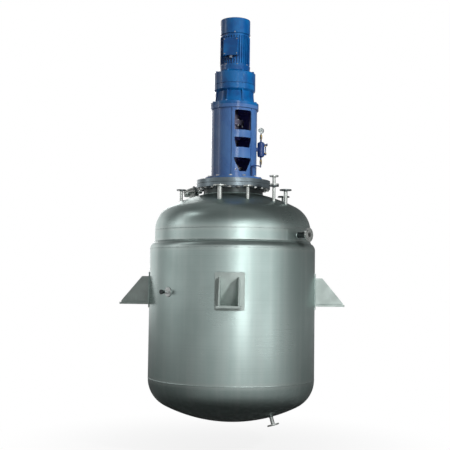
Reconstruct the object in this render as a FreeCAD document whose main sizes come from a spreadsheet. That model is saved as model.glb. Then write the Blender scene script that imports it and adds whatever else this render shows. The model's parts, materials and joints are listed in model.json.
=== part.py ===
import FreeCAD, Part
import math
import os
import Sketcher
from FreeCAD import Placement, Rotation, Vector
from types import SimpleNamespace

# Jacketed stainless reactor with a stirrer drive. Millimetres and degrees, +Z up.
# The origin is on the vessel axis, at the underside of the support lugs, and -Y is the front.
# An azimuth is measured from the front towards +X. The sizes named in stand_on calls are given
# from the surface that carries the piece, and the calls turn them into places in the part's frame.

SIZES = {
    # vessel and jacket
    "vessel_radius": 810,
    "vessel_wall": 10,
    "vessel_top_seam": 765,
    "vessel_course_seam": -167,
    "vessel_bottom_seam": -710,
    "vessel_straight": 5,
    "crown_share": 0.9,
    "knuckle_share": 0.17,
    "jacket_gap": 48,
    "jacket_wall": 8,
    "jacket_top": -192,
    "jacket_bottom_seam": -38,
    "jacket_straight": 5,
    "closure_top": 71,
    "closure_edge": 13,
    # flange pair on the top head
    "neck_radius": 310,
    "neck_wall": 10,
    "neck_bottom": -20,
    "neck_flange_radius": 75,
    "neck_flange_bottom": 67.37,
    "neck_flange_thickness": 40,
    "gasket_thickness": 3,
    "gasket_radius": 30,
    "cover_thickness": 40,
    "cover_bore": 62,
    "bolt_circle": -27.5,
    "bolt_radius": 12,
    "bolt_count": 24,
    "bolt_reach": 32,
    "bolt_gap": 1,
    "thread_gap": 0.2,
    # fasteners, each as a multiple of the shank radius
    "flats_share": 3,
    "head_share": 1.3,
    "nut_share": 1.6,
    "stud_end_share": 0.5,
    # lantern between the cover and the gearbox
    "lantern_base_radius": 60,
    "lantern_base_thickness": 30,
    "lantern_radius": 240,
    "lantern_wall": 14,
    "lantern_top": 780,
    "lantern_top_radius": 15,
    "lantern_top_thickness": 35,
    "lantern_top_bore": 150,
    "lantern_azimuth": 25,
    "lantern_screw_circle": 32,
    "lantern_screw_radius": 10,
    "lantern_screw_count": 12,
    "lantern_screw_depth": 25,
    "window_width": 184,
    "window_land": 3,
    "window_edge": 24,
    "window_edge_proud": 6,
    "upper_window_top": 717,
    "upper_window_bottom": 511,
    "middle_window_top": 435,
    "middle_window_bottom": 331,
    "middle_window_foot": 150,
    "lower_window_top": 222,
    "lower_window_bottom": 81,
    "lower_window_foot": 76,
    "upper_deck": 460,
    "lower_deck": 263,
    "deck_thickness": 25,
    "deck_bore": 86,
    "peep_radius": 9,
    "peep_side": -74,
    "peep_height": 100,
    # shaft line
    "shaft_radius": 45,
    "shaft_bottom": -865,
    "coupling_joint": 610,
    "coupling_radius": 104,
    "coupling_plate": 26,
    "coupling_hub_radius": 66,
    "coupling_hub": 55,
    "output_radius": 40,
    "output_top": 90,
    "running_gap": 0.3,
    "collar_radius": 56,
    "collar_height": 14,
    "bearing_flange_radius": 122,
    "bearing_flange_thickness": 16,
    "bearing_below_deck": 34,
    "seal_flange_radius": 128,
    "seal_flange_thickness": 20,
    "seal_radius": 84,
    "seal_top": 137,
    "seal_cap_radius": 100,
    "seal_cap_thickness": 22,
    "sleeve_radius": 52,
    "sleeve_bottom": -20,
    "sleeve_collar_radius": 68,
    "sleeve_collar": 26,
    # pitched blade stirrers
    "lower_stirrer": -800,
    "upper_stirrer": -100,
    "stirrer_tip": 380,
    "stirrer_hub_radius": 68,
    "stirrer_hub": 130,
    "blade_width": 125,
    "blade_thickness": 10,
    "blade_pitch": 45,
    "blade_count": 4,
    # gearbox
    "gearbox_flange_thickness": 35,
    "gearbox_foot_radius": 212,
    "gearbox_waist_radius": 196,
    "gearbox_waist_top": 171,
    "gearbox_ring_radius": 218,
    "gearbox_joint": 224,
    "gearbox_rib_count": 8,
    "gearbox_rib_thickness": 14,
    "gear_ring_top": 337,
    "gear_ring_groove": 8,
    "gear_ring_groove_depth": 7,
    "gearbox_rim": 18,
    "gearbox_shoulder_radius": 186,
    "gearbox_shoulder": 380,
    "gearbox_screw_circle": 203,
    "gearbox_screw_radius": 8,
    "gearbox_screw_count": 8,
    "flange_screw_circle": 236,
    "flange_screw_radius": 7,
    "flange_screw_depth": 28,
    "motor_seat": 413,
    "motor_seat_radius": 158,
    # motor
    "motor_flange_thickness": 18,
    "motor_flange_radius": 160,
    "motor_neck_radius": 147,
    "motor_bottom": 37,
    "motor_frame_top": 366,
    "motor_shell_radius": 146,
    "motor_rib_radius": 157,
    "motor_rib_thickness": 4,
    "motor_rib_count": 36,
    "motor_bore": 122,
    "motor_end_wall": 24,
    "motor_shaft_radius": 24,
    "motor_shaft_bottom": -63,
    "rotor_radius": 78,
    "air_gap": 1,
    "core_bottom": 72,
    "core_top": 302,
    "cowl_radius": 157,
    "cowl_wall": 2.5,
    "cowl_top": 516,
    "cowl_overlap": 12,
    "cowl_corner": 10,
    "corner_share": 0.3,
    "cowl_post_width": 24,
    "cowl_post_count": 4,
    "grille_slot_width": 11,
    "grille_slot_inner": 34,
    "grille_slot_outer": 126,
    "grille_slot_count": 16,
    "fan_radius": 128,
    "fan_bottom": 392,
    "fan_height": 52,
    "fan_plate": 4,
    "fan_hub_radius": 36,
    "fan_blade_count": 7,
    "fan_blade_thickness": 4,
    "terminal_azimuth": -12,
    "terminal_width": 150,
    "terminal_bottom": 106,
    "terminal_height": 176,
    "terminal_reach": 206,
    "terminal_lid_thickness": 12,
    "terminal_lid_lip": 5,
    "gland_radius": 14,
    "gland_length": 30,
    "gland_bore": 9,
    # seal pot beside the lantern
    "pot_azimuth": 88,
    "pot_distance": 44,
    "pot_radius": 37,
    "pot_bottom": 267,
    "pot_top": 136,
    "pot_dome": 16,
    "dome_radius_share": 0.7,
    "dome_height_share": 0.6,
    "pot_neck_radius": 9,
    "pot_neck_top": 36,
    "pot_neck_bottom": -34,
    "pot_arm_reach": 58,
    "pot_arm_radius": 7,
    "pot_arm_inset": 16,
    "level_radius": 6,
    "level_distance": 48,
    "fill_knob_radius": 13,
    "fill_knob_length": 12,
    "bracket_bottom": 50,
    "bracket_height": 36,
    "bracket_width": 52,
    "cock_radius": 13,
    "cock_height": 58,
    "plug_radius": 5,
    "lever_length": 42,
    "lever_width": 9,
    "lever_thickness": 4,
    "gauge_radius": 31,
    "gauge_depth": 26,
    "gauge_wall": 3,
    "gauge_stem": 36,
    "gauge_stem_radius": 6,
    "dial_depth": 9,
    "needle_length": 23,
    "needle_width": 3,
    "needle_thickness": 1.6,
    "needle_tail": 8,
    "needle_tip": 1,
    "needle_zero": 135,
    "pivot_radius": 2,
    "pipe_radius": 6,
    "pipe_level": 150,
    "pipe_azimuth": 48,
    "pipe_distance": 22,
    "pipe_bend": 24,
    # nozzles: pipe radius, flange radius, thickness, hole circle and hole radius of each bore
    "pipe_wall": 3.5,
    "weld_leg": 5,
    "face_height": 2,
    "face_margin_share": 1.4,
    "dn25_pipe": 16, "dn25_flange": 50, "dn25_thickness": 14, "dn25_circle": 37.5, "dn25_hole": 5.5,
    "dn32_pipe": 19, "dn32_flange": 60, "dn32_thickness": 14, "dn32_circle": 45, "dn32_hole": 7,
    "dn40_pipe": 22.5, "dn40_flange": 65, "dn40_thickness": 14, "dn40_circle": 50, "dn40_hole": 7,
    "dn50_pipe": 28.5, "dn50_flange": 70, "dn50_thickness": 16, "dn50_circle": 55, "dn50_hole": 7,
    "dn100_pipe": 54, "dn100_flange": 105, "dn100_thickness": 18, "dn100_circle": 85, "dn100_hole": 9,
    "nozzle_holes": 4,
    "nozzle_inset": 30,
    "feed_azimuth": -12, "feed_distance": 571, "feed_face": -12,
    "dosing_azimuth": 16.4, "dosing_distance": 560, "dosing_face": -12,
    "probe_azimuth": 44, "probe_distance": 600, "probe_face": 0,
    "vapour_azimuth": 57, "vapour_distance": 640, "vapour_face": -32,
    "return_azimuth": 120, "return_distance": 618, "return_face": -39,
    "vent_azimuth": -88.5, "vent_distance": 545, "vent_face": -10,
    "probe_spool": 84,
    "probe_rod_radius": 7,
    "probe_depth": 760,
    "probe_top": 45,
    "hand_azimuth": -118.4, "hand_distance": 467, "hand_reach": 105,
    "hand_bolts": 4,
    "hand_bolt_radius": 8,
    "hand_gasket": 2,
    "side_azimuth": 54.5, "side_height": -52, "side_face": 135,
    "side_inset": 16,
    "side_plate_angle": 24,
    "drain_azimuth": 53.5, "drain_distance": 515, "drain_reach": 90, "drain_inset": 14,
    "port_azimuth": -45, "port_height": 135, "port_pad": 46, "port_pad_thickness": 8,
    "port_pipe": 15, "port_face": 94, "port_cap": 23, "port_cap_thickness": 14, "port_inset": 14,
    # support lugs
    "lug_count": 4,
    "lug_pad_thickness": 10,
    "lug_pad_width": 286,
    "lug_pad_bottom": -30,
    "lug_pad_height": 362,
    "lug_reach": 299,
    "lug_plate": 20,
    "lug_width": 234,
    "lug_span": 196,
    "lug_gusset": 12,
    "lug_top": 290,
    "lug_top_width": 62,
    "lug_toe": 16,
    "lug_hole": 15,
    "lug_hole_inset": 117,
}


class Size:
    """A number together with the sheet formula that gives it."""

    def __init__(self, value, formula):
        self.value = float(value)
        self.formula = formula

    def __add__(self, other):
        other = size(other)
        return Size(self.value + other.value, f"({self.formula} + {other.formula})")

    def __sub__(self, other):
        other = size(other)
        return Size(self.value - other.value, f"({self.formula} - {other.formula})")

    def __mul__(self, other):
        other = size(other)
        return Size(self.value * other.value, f"({self.formula} * {other.formula})")

    def __truediv__(self, other):
        other = size(other)
        return Size(self.value / other.value, f"({self.formula} / {other.formula})")

    def __radd__(self, other):
        return size(other) + self

    def __rsub__(self, other):
        return size(other) - self

    def __rmul__(self, other):
        return size(other) * self

    def __neg__(self):
        return Size(-self.value, f"(-1 * {self.formula})")


def size(number):
    """A plain number becomes a size, and a size stays as it is."""
    if isinstance(number, Size):
        return number
    return Size(number, repr(float(number)))


def root(number):
    return Size(math.sqrt(number.value), f"sqrt({number.formula})")


def sine(angle):
    return Size(math.sin(math.radians(angle.value)), f"sin({angle.formula})")


def cosine(angle):
    return Size(math.cos(math.radians(angle.value)), f"cos({angle.formula})")


def make_sheet(doc):
    """The sheet of driving dimensions, and the same names as sizes."""
    sheet = doc.addObject("Spreadsheet::Sheet", "sizes")
    for row, (alias, value) in enumerate(SIZES.items(), start=1):
        sheet.set(f"A{row}", alias)
        sheet.set(f"B{row}", str(value))
        sheet.setAlias(f"B{row}", alias)
    doc.recompute()
    return SimpleNamespace(**{alias: Size(value, f"sizes.{alias}") for alias, value in SIZES.items()})


doc = FreeCAD.newDocument("reactor")
s = make_sheet(doc)
nodes = []
gaskets = []


def bind(thing, prop, number):
    """Set a property from a size, and tie it to the sheet."""
    thing.setExpression(prop, size(number).formula)


def keep(thing, name):
    """Name a finished sub-part and list it for export."""
    thing.Label = name
    nodes.append(thing)
    return thing


# sketches and part design features

def new_body(name):
    return keep(doc.addObject("PartDesign::Body", name + "_body"), name)


def group(name, pieces, place=None):
    """One sub-part of several pieces, each a separate solid."""
    made = doc.addObject("Part::Compound", name + "_group")
    made.Links = pieces
    if place is not None:
        made.Placement = place
    return keep(made, name)


def origin_of(body, role):
    return next(item for item in body.Origin.OriginFeatures if item.Role == role)


def new_sketch(body, role, offset=None):
    """A sketch on one of the body's own planes, moved along its normal by offset."""
    sketch = body.newObject("Sketcher::SketchObject", body.Label + "_sketch")
    sketch.AttachmentSupport = [(origin_of(body, role), "")]
    sketch.MapMode = "FlatFace"
    if offset is not None:
        bind(sketch, "AttachmentOffset.Base.z", offset)
    return sketch


def fix(sketch, kind, geometry, vertex, number):
    """Hold a vertex at a distance from the sketch origin, tied to the sheet."""
    if number.value == 0 and number.formula == "0.0":
        line = -2 if kind == "DistanceX" else -1
        sketch.addConstraint(Sketcher.Constraint("PointOnObject", geometry, vertex, line))
        return
    index = sketch.addConstraint(Sketcher.Constraint(kind, -1, 1, geometry, vertex, number.value))
    sketch.setExpression(f"Constraints[{index}]", number.formula)


def edge_between(start, end, centre):
    """A straight edge, or an arc about a centre, and which of its vertices comes first."""
    first = Vector(start[0].value, start[1].value, 0)
    last = Vector(end[0].value, end[1].value, 0)
    if centre is None:
        return Part.LineSegment(first, last), 1
    middle = Vector(centre[0].value, centre[1].value, 0)
    turns_left = (first - middle).cross(last - middle).z > 0
    if not turns_left:
        first, last = last, first
    angles = [math.atan2(point.y - middle.y, point.x - middle.x) for point in (first, last)]
    arc = Part.ArcOfCircle(Part.Circle(middle, Vector(0, 0, 1), (first - middle).Length), *angles)
    return arc, 1 if turns_left else 2


def outline(sketch, points):
    """A closed outline. A point is two sizes, and a third item (centre, radius) starts an arc there."""
    corners = [(size(point[0]), size(point[1])) for point in points]
    arcs = [point[2] if len(point) > 2 else None for point in points]
    first = sketch.GeometryCount
    starts = []
    for start, end, arc in zip(corners, corners[1:] + corners[:1], arcs):
        edge, vertex = edge_between(start, end, arc and arc[0])
        sketch.addGeometry(edge, False)
        starts.append(vertex)
    for index, (u, v) in enumerate(corners):
        before = (index - 1) % len(corners)
        sketch.addConstraint(Sketcher.Constraint(
            "Coincident", first + before, 3 - starts[before], first + index, starts[index]))
        fix(sketch, "DistanceX", first + index, starts[index], u)
        fix(sketch, "DistanceY", first + index, starts[index], v)
        if arcs[index]:
            hold_radius(sketch, first + index, arcs[index][1])


def hold_radius(sketch, geometry, radius):
    index = sketch.addConstraint(Sketcher.Constraint("Radius", geometry, radius.value))
    sketch.setExpression(f"Constraints[{index}]", radius.formula)


def rectangle(sketch, left, right, low, high):
    outline(sketch, [(left, low), (right, low), (right, high), (left, high)])


def circle(sketch, u, v, radius):
    u, v, radius = size(u), size(v), size(radius)
    index = sketch.addGeometry(Part.Circle(Vector(u.value, v.value, 0), Vector(0, 0, 1), radius.value), False)
    fix(sketch, "DistanceX", index, 3, u)
    fix(sketch, "DistanceY", index, 3, v)
    hold_radius(sketch, index, radius)


def feature(body, kind, sketch):
    made = body.newObject("PartDesign::" + kind, f"{body.Label}_{kind.lower()}")
    made.Profile = sketch
    sketch.Visibility = False
    return made


def revolve(body, points):
    """A closed half section of (radius, height) points turned about the body's axis."""
    sketch = new_sketch(body, "XZ_Plane")
    outline(sketch, points)
    made = feature(body, "Revolution", sketch)
    made.ReferenceAxis = (sketch, ["V_Axis"])
    made.Angle = 360
    return made


def turned_piece(name, points, place=None):
    """A turned piece that belongs to a group."""
    body = doc.addObject("PartDesign::Body", name)
    revolve(body, points)
    if place is not None:
        body.Placement = place
    return body


def turned(name, points, place=None):
    return keep(turned_piece(name + "_body", points, place), name)


def ring(name, inner, outer, low, high, place=None):
    return turned_piece(name, [(inner, low), (outer, low), (outer, high), (inner, high)], place)


def pad(body, sketch, length, both_ways=False, reverse=False):
    made = feature(body, "Pad", sketch)
    bind(made, "Length", length)
    made.SideType = "Symmetric" if both_ways else "One side"
    made.Reversed = reverse
    return made


def pocket(body, sketch, depth=None, both_ways=False, reverse=False):
    """A cut of a given depth, or right through when no depth is given."""
    made = feature(body, "Pocket", sketch)
    made.SideType = "Symmetric" if both_ways else "One side"
    if depth is None:
        made.Type = "ThroughAll"
    else:
        bind(made, "Length", depth)
    made.Reversed = reverse
    return made


def repeat(body, originals, count):
    """The same features again, evenly round the body's axis."""
    made = body.newObject("PartDesign::PolarPattern", body.Label + "_pattern")
    made.Originals = originals
    made.Axis = (origin_of(body, "Z_Axis"), [""])
    made.Angle = 360
    bind(made, "Occurrences", count)
    body.Tip = made
    return made


def mirror(body, originals, role):
    made = body.newObject("PartDesign::Mirrored", body.Label + "_mirror")
    made.Originals = originals
    made.MirrorPlane = (origin_of(body, role), [""])
    body.Tip = made
    return made


def drill(body, radius, circle_radius, count, top, depth=None):
    """A ring of holes drilled down from a height."""
    sketch = new_sketch(body, "XY_Plane", top)
    circle(sketch, circle_radius, 0, radius)
    repeat(body, [pocket(body, sketch, depth)], count)


# solids and booleans

def cylinder(radius, low, high):
    made = doc.addObject("Part::Cylinder", "cylinder")
    bind(made, "Radius", radius)
    bind(made, "Height", size(high) - low)
    bind(made, "Placement.Base.z", low)
    return made


def placed_cylinder(radius, height, place):
    """A cylinder that starts at a place and runs along its local +Z."""
    made = doc.addObject("Part::Cylinder", "tool")
    bind(made, "Radius", radius)
    bind(made, "Height", height)
    made.Placement = place
    return made


def box(x_low, x_high, y_low, y_high, z_low, z_high):
    made = doc.addObject("Part::Box", "box")
    bind(made, "Length", size(x_high) - x_low)
    bind(made, "Width", size(y_high) - y_low)
    bind(made, "Height", size(z_high) - z_low)
    bind(made, "Placement.Base.x", x_low)
    bind(made, "Placement.Base.y", y_low)
    bind(made, "Placement.Base.z", z_low)
    return made


def fuse(things):
    if len(things) == 1:
        return things[0]
    made = doc.addObject("Part::MultiFuse", "fuse")
    made.Shapes = things
    return made


def common(things):
    made = doc.addObject("Part::MultiCommon", "common")
    made.Shapes = things
    return made


def cut(base, tools):
    made = doc.addObject("Part::Cut", "cut")
    made.Base = base
    made.Tool = fuse(tools)
    return made


def head_arcs(radius, offset, diameter, tangent, way):
    """The knuckle start, the knuckle end and the crown of a head, offset outward from the inner shape."""
    crown = s.crown_share * diameter
    knuckle = s.knuckle_share * diameter
    knuckle_centre = (diameter / 2 - knuckle, tangent)
    reach = crown - knuckle
    drop = root(reach * reach - knuckle_centre[0] * knuckle_centre[0])
    crown_centre = (size(0), tangent - way * drop)
    share = (crown + offset) / reach
    join = (knuckle_centre[0] * share, crown_centre[1] + way * drop * share)
    top = (size(0), crown_centre[1] + way * (crown + offset))
    return (radius, tangent), join, top, (knuckle_centre, knuckle + offset), (crown_centre, crown + offset)


def head_depth(radius, wall):
    """The outer depth of a head above its tangent plane."""
    diameter = (radius - wall) * 2
    reach = (s.crown_share - s.knuckle_share) * diameter
    inset = diameter / 2 - s.knuckle_share * diameter
    return s.crown_share * diameter + wall - root(reach * reach - inset * inset)


def crown_height(distance, radius, wall):
    """How far the outside of the crown stands above the tangent plane at a distance from the axis."""
    crown = s.crown_share * (radius - wall) * 2 + wall
    return head_depth(radius, wall) - crown + root(crown * crown - distance * distance)


def crown_lean(distance, radius, wall):
    """The angle between the crown's surface normal and the vessel axis."""
    crown = s.crown_share * (radius - wall) * 2 + wall
    return math.degrees(math.asin(distance.value / crown.value))


def dished_head(name, radius, wall, straight, seam, way, tools):
    """A dished head of even wall, crown and knuckle, with a straight skirt and its nozzle holes."""
    tangent = seam + way * straight
    inner = radius - wall
    body = doc.addObject("PartDesign::Body", name + "_blank")
    outer_start, outer_join, outer_top, outer_knuckle, outer_crown = head_arcs(
        radius, wall, inner * 2, tangent, way)
    inner_start, inner_join, inner_top, inner_knuckle, inner_crown = head_arcs(
        inner, size(0), inner * 2, tangent, way)
    revolve(body, [
        (radius, seam), (*outer_start, outer_knuckle), (*outer_join, outer_crown), outer_top,
        (*inner_top, inner_crown), (*inner_join, inner_knuckle), inner_start, (inner, seam),
    ])
    keep(cut(body, tools) if tools else body, name)


# places

def spot(azimuth, distance, height, tilt=0):
    """A place at an azimuth, its +X outward at tilt 0, its +Z leaning outward by tilt."""
    angle = math.radians(azimuth.value)
    where = Vector(distance.value * math.sin(angle), -distance.value * math.cos(angle), size(height).value)
    lean = Rotation(Vector(math.cos(angle), math.sin(angle), 0), tilt)
    return Placement(where, lean.multiply(Rotation(Vector(0, 0, 1), azimuth.value - 90)))


def along(place, distance):
    """The same place moved along its own +Z."""
    return place.multiply(Placement(Vector(0, 0, size(distance).value), Rotation()))


# fasteners

def hexagon(shank, low, height):
    """A hexagon prism for a shank radius, standing at a height."""
    across = shank * s.flats_share.value / math.cos(math.radians(30)) / 2
    corners = [Vector(across, 0, 0)]
    for _ in range(6):
        corners.append(Rotation(Vector(0, 0, 1), 60).multVec(corners[-1]))
    return Part.Face(Part.makePolygon(corners)).extrude(Vector(0, 0, height)).translated(Vector(0, 0, low))


def stud_shape(radius, low, high):
    """A stud with a nut under the low face and one on the high face."""
    nut = radius * s.nut_share.value
    end = nut + radius * s.stud_end_share.value
    shank = Part.makeCylinder(radius, high - low + 2 * end, Vector(0, 0, low - end))
    return shank.fuse([hexagon(radius, low - nut, nut), hexagon(radius, high, nut)])


def screw_shape(radius, seat, depth):
    """A hexagon screw whose head sits on the seat."""
    head = hexagon(radius, seat, radius * s.head_share.value)
    return Part.makeCylinder(radius, depth, Vector(0, 0, seat - depth)).fuse(head)


def ring_of(shape, circle_radius, count):
    """Copies of a fastener on a circle, each a separate solid."""
    out = shape.translated(Vector(circle_radius, 0, 0))
    return [out.rotated(Vector(0, 0, 0), Vector(0, 0, 1), 360 / count * turn) for turn in range(int(count))]


def fasteners(name, shapes, place=None):
    group = doc.addObject("Part::Feature", name + "_group")
    group.Shape = Part.makeCompound(shapes)
    if place is not None:
        group.Placement = place
    return keep(group, name)


# nozzles

def bore_sizes(bore):
    """The pipe radius, flange radius, thickness, hole circle and hole radius of a nominal bore."""
    return SimpleNamespace(**{part: getattr(s, f"{bore}_{part}")
                              for part in ("pipe", "flange", "thickness", "circle", "hole")})


def raised_face(pipe):
    """The radius of the raised face inside the bolt holes."""
    return pipe.circle - pipe.hole * s.face_margin_share


def nozzle(name, bore, place, length, holes):
    """A flanged pipe whose flange face is at the place and whose pipe runs back along -Z."""
    pipe = bore_sizes(bore)
    inner = pipe.pipe - s.pipe_wall
    back = -pipe.thickness
    face = raised_face(pipe)
    body = turned(name, [
        (inner, -length), (pipe.pipe, -length), (pipe.pipe, back - s.weld_leg),
        (pipe.pipe + s.weld_leg, back), (pipe.flange, back), (pipe.flange, -s.face_height),
        (face, -s.face_height), (face, 0), (inner, 0),
    ])
    drill(body, pipe.hole, pipe.circle, holes, size(0))
    body.Placement = place.multiply(Placement(Vector(0, 0, 0), Rotation(Vector(0, 0, 1), 180 / holes.value)))
    return placed_cylinder(pipe.pipe, length, along(place, -length))


def stand_on(base, *names):
    """Sizes given from a surface become places in the part's own frame."""
    for name in names:
        setattr(s, name, base + getattr(s, name))


stand_on(s.vessel_top_seam, "vessel_course_seam", "jacket_top", "side_height")
stand_on(s.vessel_bottom_seam, "jacket_bottom_seam")
stand_on(s.jacket_top, "closure_top")
stand_on(s.vessel_radius, "side_face")
s.jacket_radius = s.vessel_radius + s.jacket_gap
stand_on(s.jacket_radius, "port_face", "lug_reach")
top_tangent = s.vessel_top_seam + s.vessel_straight
vessel_bore = s.vessel_radius - s.vessel_wall
jacket_bore = s.jacket_radius - s.jacket_wall
jacket_tangent = s.jacket_bottom_seam - s.jacket_straight


def head_surface(distance):
    """The height of the top head's outside at a distance from the axis."""
    return top_tangent + crown_height(distance, s.vessel_radius, s.vessel_wall)


def upright_nozzle(name, bore, stem):
    """A vertical nozzle on the top head."""
    azimuth, distance, face = (getattr(s, f"{stem}_{part}") for part in ("azimuth", "distance", "face"))
    length = face - head_surface(distance) + s.nozzle_inset
    return nozzle(name, bore, spot(azimuth, distance, face), length, s.nozzle_holes)


stand_on(head_surface(s.neck_radius), "neck_bottom", "neck_flange_bottom")
stand_on(s.neck_flange_bottom, "feed_face", "dosing_face", "probe_face", "vapour_face", "return_face",
         "vent_face")
head_tools = [
    upright_nozzle("feed_nozzle", "dn40", "feed"),
    upright_nozzle("dosing_nozzle", "dn25", "dosing"),
    upright_nozzle("probe_nozzle", "dn25", "probe"),
    upright_nozzle("vapour_nozzle", "dn32", "vapour"),
    upright_nozzle("return_nozzle", "dn40", "return"),
    upright_nozzle("vent_nozzle", "dn25", "vent"),
]


# handhole, square to the head, with its bolted blind cover

hand_root = spot(s.hand_azimuth, s.hand_distance, head_surface(s.hand_distance),
                 crown_lean(s.hand_distance, s.vessel_radius, s.vessel_wall))
hand_face = along(hand_root, s.hand_reach)
head_tools.append(nozzle("handhole_neck", "dn100", hand_face, s.hand_reach + s.nozzle_inset, s.hand_bolts))
head_tools.append(cylinder(s.neck_radius, s.neck_bottom, s.neck_flange_bottom))


def handhole_cover():
    """The blind flange, with a raised face on a thin gasket ring."""
    pipe = bore_sizes("dn100")
    face = raised_face(pipe)
    top = s.hand_gasket + pipe.thickness
    lip = s.hand_gasket + s.face_height
    turn = Rotation(Vector(0, 0, 1), 180 / s.hand_bolts.value)
    place = hand_face.multiply(Placement(Vector(0, 0, 0), turn))
    body = turned("handhole_cover", [
        (0, s.hand_gasket), (face, s.hand_gasket), (face, lip), (pipe.flange, lip), (pipe.flange, top),
        (0, top),
    ], place)
    drill(body, pipe.hole, pipe.circle, s.hand_bolts, top)
    gaskets.append(ring("handhole_gasket", pipe.pipe, face, size(0), s.hand_gasket, hand_face))
    bolt = stud_shape(s.hand_bolt_radius.value, -pipe.thickness.value, top.value)
    fasteners("handhole_bolts", ring_of(bolt, pipe.circle.value, s.hand_bolts.value), place)


handhole_cover()


# probe pocket on its own nozzle: a spool with a blind top and a rod into the charge

def probe_pocket():
    pipe = bore_sizes("dn25")
    top = s.probe_spool
    body = turned("probe_pocket", [
        (0, -s.probe_depth), (s.probe_rod_radius, -s.probe_depth), (s.probe_rod_radius, 0),
        (pipe.flange, 0), (pipe.flange, pipe.thickness), (pipe.pipe, pipe.thickness),
        (pipe.pipe, top), (s.probe_top, top), (s.probe_top, top + pipe.thickness), (0, top + pipe.thickness),
    ])
    body.Placement = spot(s.probe_azimuth, s.probe_distance, s.probe_face)


probe_pocket()


# vessel

dished_head("vessel_top_head", s.vessel_radius, s.vessel_wall, s.vessel_straight, s.vessel_top_seam, 1,
            head_tools)
dished_head("vessel_bottom_head", s.vessel_radius, s.vessel_wall, s.vessel_straight, s.vessel_bottom_seam, -1,
            [])


def tube(name, outer, inner, low, high, tools):
    """A straight shell with its nozzle holes cut."""
    return keep(cut(cylinder(outer, low, high), [cylinder(inner, low, high)] + tools), name)


side_place = spot(s.side_azimuth, s.side_face, s.side_height, 90)
side_length = s.side_face - s.vessel_radius + s.vessel_wall + s.side_inset
side_tool = nozzle("side_nozzle", "dn50", side_place, side_length, s.nozzle_holes)
tube("vessel_shell", s.vessel_radius, vessel_bore, s.vessel_bottom_seam, s.vessel_course_seam, [])


def course_plate(azimuth, sweep, tools):
    """A rolled plate of the upper course, round from an azimuth by an angle."""
    blank = cylinder(s.vessel_radius, s.vessel_course_seam, s.vessel_top_seam)
    bind(blank, "Angle", sweep)
    blank.Placement = Placement(blank.Placement.Base, Rotation(Vector(0, 0, 1), azimuth.value - 90))
    return cut(blank, [cylinder(vessel_bore, s.vessel_course_seam, s.vessel_top_seam)] + tools)


plate_start = s.side_azimuth - s.side_plate_angle / 2
plate_end = s.side_azimuth + s.side_plate_angle / 2
group("vessel_upper_course", [course_plate(plate_start, s.side_plate_angle, [side_tool]),
                              course_plate(plate_end, 360 - s.side_plate_angle, [])])


# jacket

def jacket_port():
    """A capped gauge connection with a round pad on the jacket."""
    place = spot(s.port_azimuth, s.port_face, s.port_height, 90)
    length = s.port_face - jacket_bore + s.port_inset
    pad_face = -(s.port_face - s.jacket_radius - s.port_pad_thickness)
    pad_back = pad_face - s.port_pad_thickness * 2
    body = new_body("jacket_port")
    revolve(body, [
        (0, -length), (s.port_pipe, -length), (s.port_pipe, pad_back), (s.port_pad, pad_back),
        (s.port_pad, pad_face), (s.port_pipe, pad_face), (s.port_pipe, -s.port_cap_thickness),
        (s.port_cap, -s.port_cap_thickness), (s.port_cap, 0), (0, 0),
    ])
    sketch = new_sketch(body, "YZ_Plane")
    circle(sketch, 0, -s.port_face, s.jacket_radius)
    pocket(body, sketch, None, both_ways=True)
    plug = new_sketch(body, "XY_Plane", -length)
    circle(plug, 0, 0, s.port_pipe)
    pad(body, plug, length - s.port_cap_thickness)
    body.Placement = place
    return placed_cylinder(s.port_pipe, length, along(place, -length))


port_tool = jacket_port()
tube("jacket_shell", s.jacket_radius, jacket_bore, s.jacket_bottom_seam, s.jacket_top, [port_tool])

drain_root = spot(s.drain_azimuth, s.drain_distance,
                  jacket_tangent - crown_height(s.drain_distance, s.jacket_radius, s.jacket_wall),
                  180 - crown_lean(s.drain_distance, s.jacket_radius, s.jacket_wall))
drain_tool = nozzle("drain_nozzle", "dn32", along(drain_root, s.drain_reach),
                    s.drain_reach + s.jacket_wall + s.drain_inset, s.nozzle_holes)
dished_head("jacket_bottom_head", s.jacket_radius, s.jacket_wall, s.jacket_straight, s.jacket_bottom_seam,
            -1, [drain_tool])
turned("jacket_closure", [
    (s.vessel_radius, s.closure_top), (s.vessel_radius, s.closure_top - s.closure_edge),
    (jacket_bore, s.jacket_top), (s.jacket_radius, s.jacket_top),
])


# flange pair, gasket, cover and the bolts that hold it from below

stand_on(s.neck_radius, "neck_flange_radius", "gasket_radius")
stand_on(s.neck_flange_radius, "bolt_circle")
stand_on(s.lantern_radius, "lantern_base_radius", "lantern_top_radius", "lantern_screw_circle")
flange_top = s.neck_flange_bottom + s.neck_flange_thickness
cover_bottom = flange_top + s.gasket_thickness
cover_top = cover_bottom + s.cover_thickness
neck_bore = s.neck_radius - s.neck_wall

lantern_turn = Placement(Vector(0, 0, 0), Rotation(Vector(0, 0, 1), s.lantern_azimuth.value))
neck = turned("neck_flange", [
    (neck_bore, s.neck_bottom), (s.neck_radius, s.neck_bottom), (s.neck_radius, s.neck_flange_bottom),
    (s.neck_flange_radius, s.neck_flange_bottom), (s.neck_flange_radius, flange_top), (neck_bore, flange_top),
], lantern_turn)
drill(neck, s.bolt_radius + s.bolt_gap, s.bolt_circle, s.bolt_count, flange_top)
gaskets.append(ring("neck_gasket", neck_bore, s.gasket_radius, flange_top, cover_bottom))
group("joint_gaskets", gaskets)
cover = turned("cover_plate", [
    (s.cover_bore, cover_bottom), (s.neck_flange_radius, cover_bottom), (s.neck_flange_radius, cover_top),
    (s.cover_bore, cover_top),
], lantern_turn)
bolt_hole = s.bolt_reach + s.thread_gap
drill(cover, s.bolt_radius + s.thread_gap, s.bolt_circle, s.bolt_count, cover_bottom + bolt_hole, bolt_hole)
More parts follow.
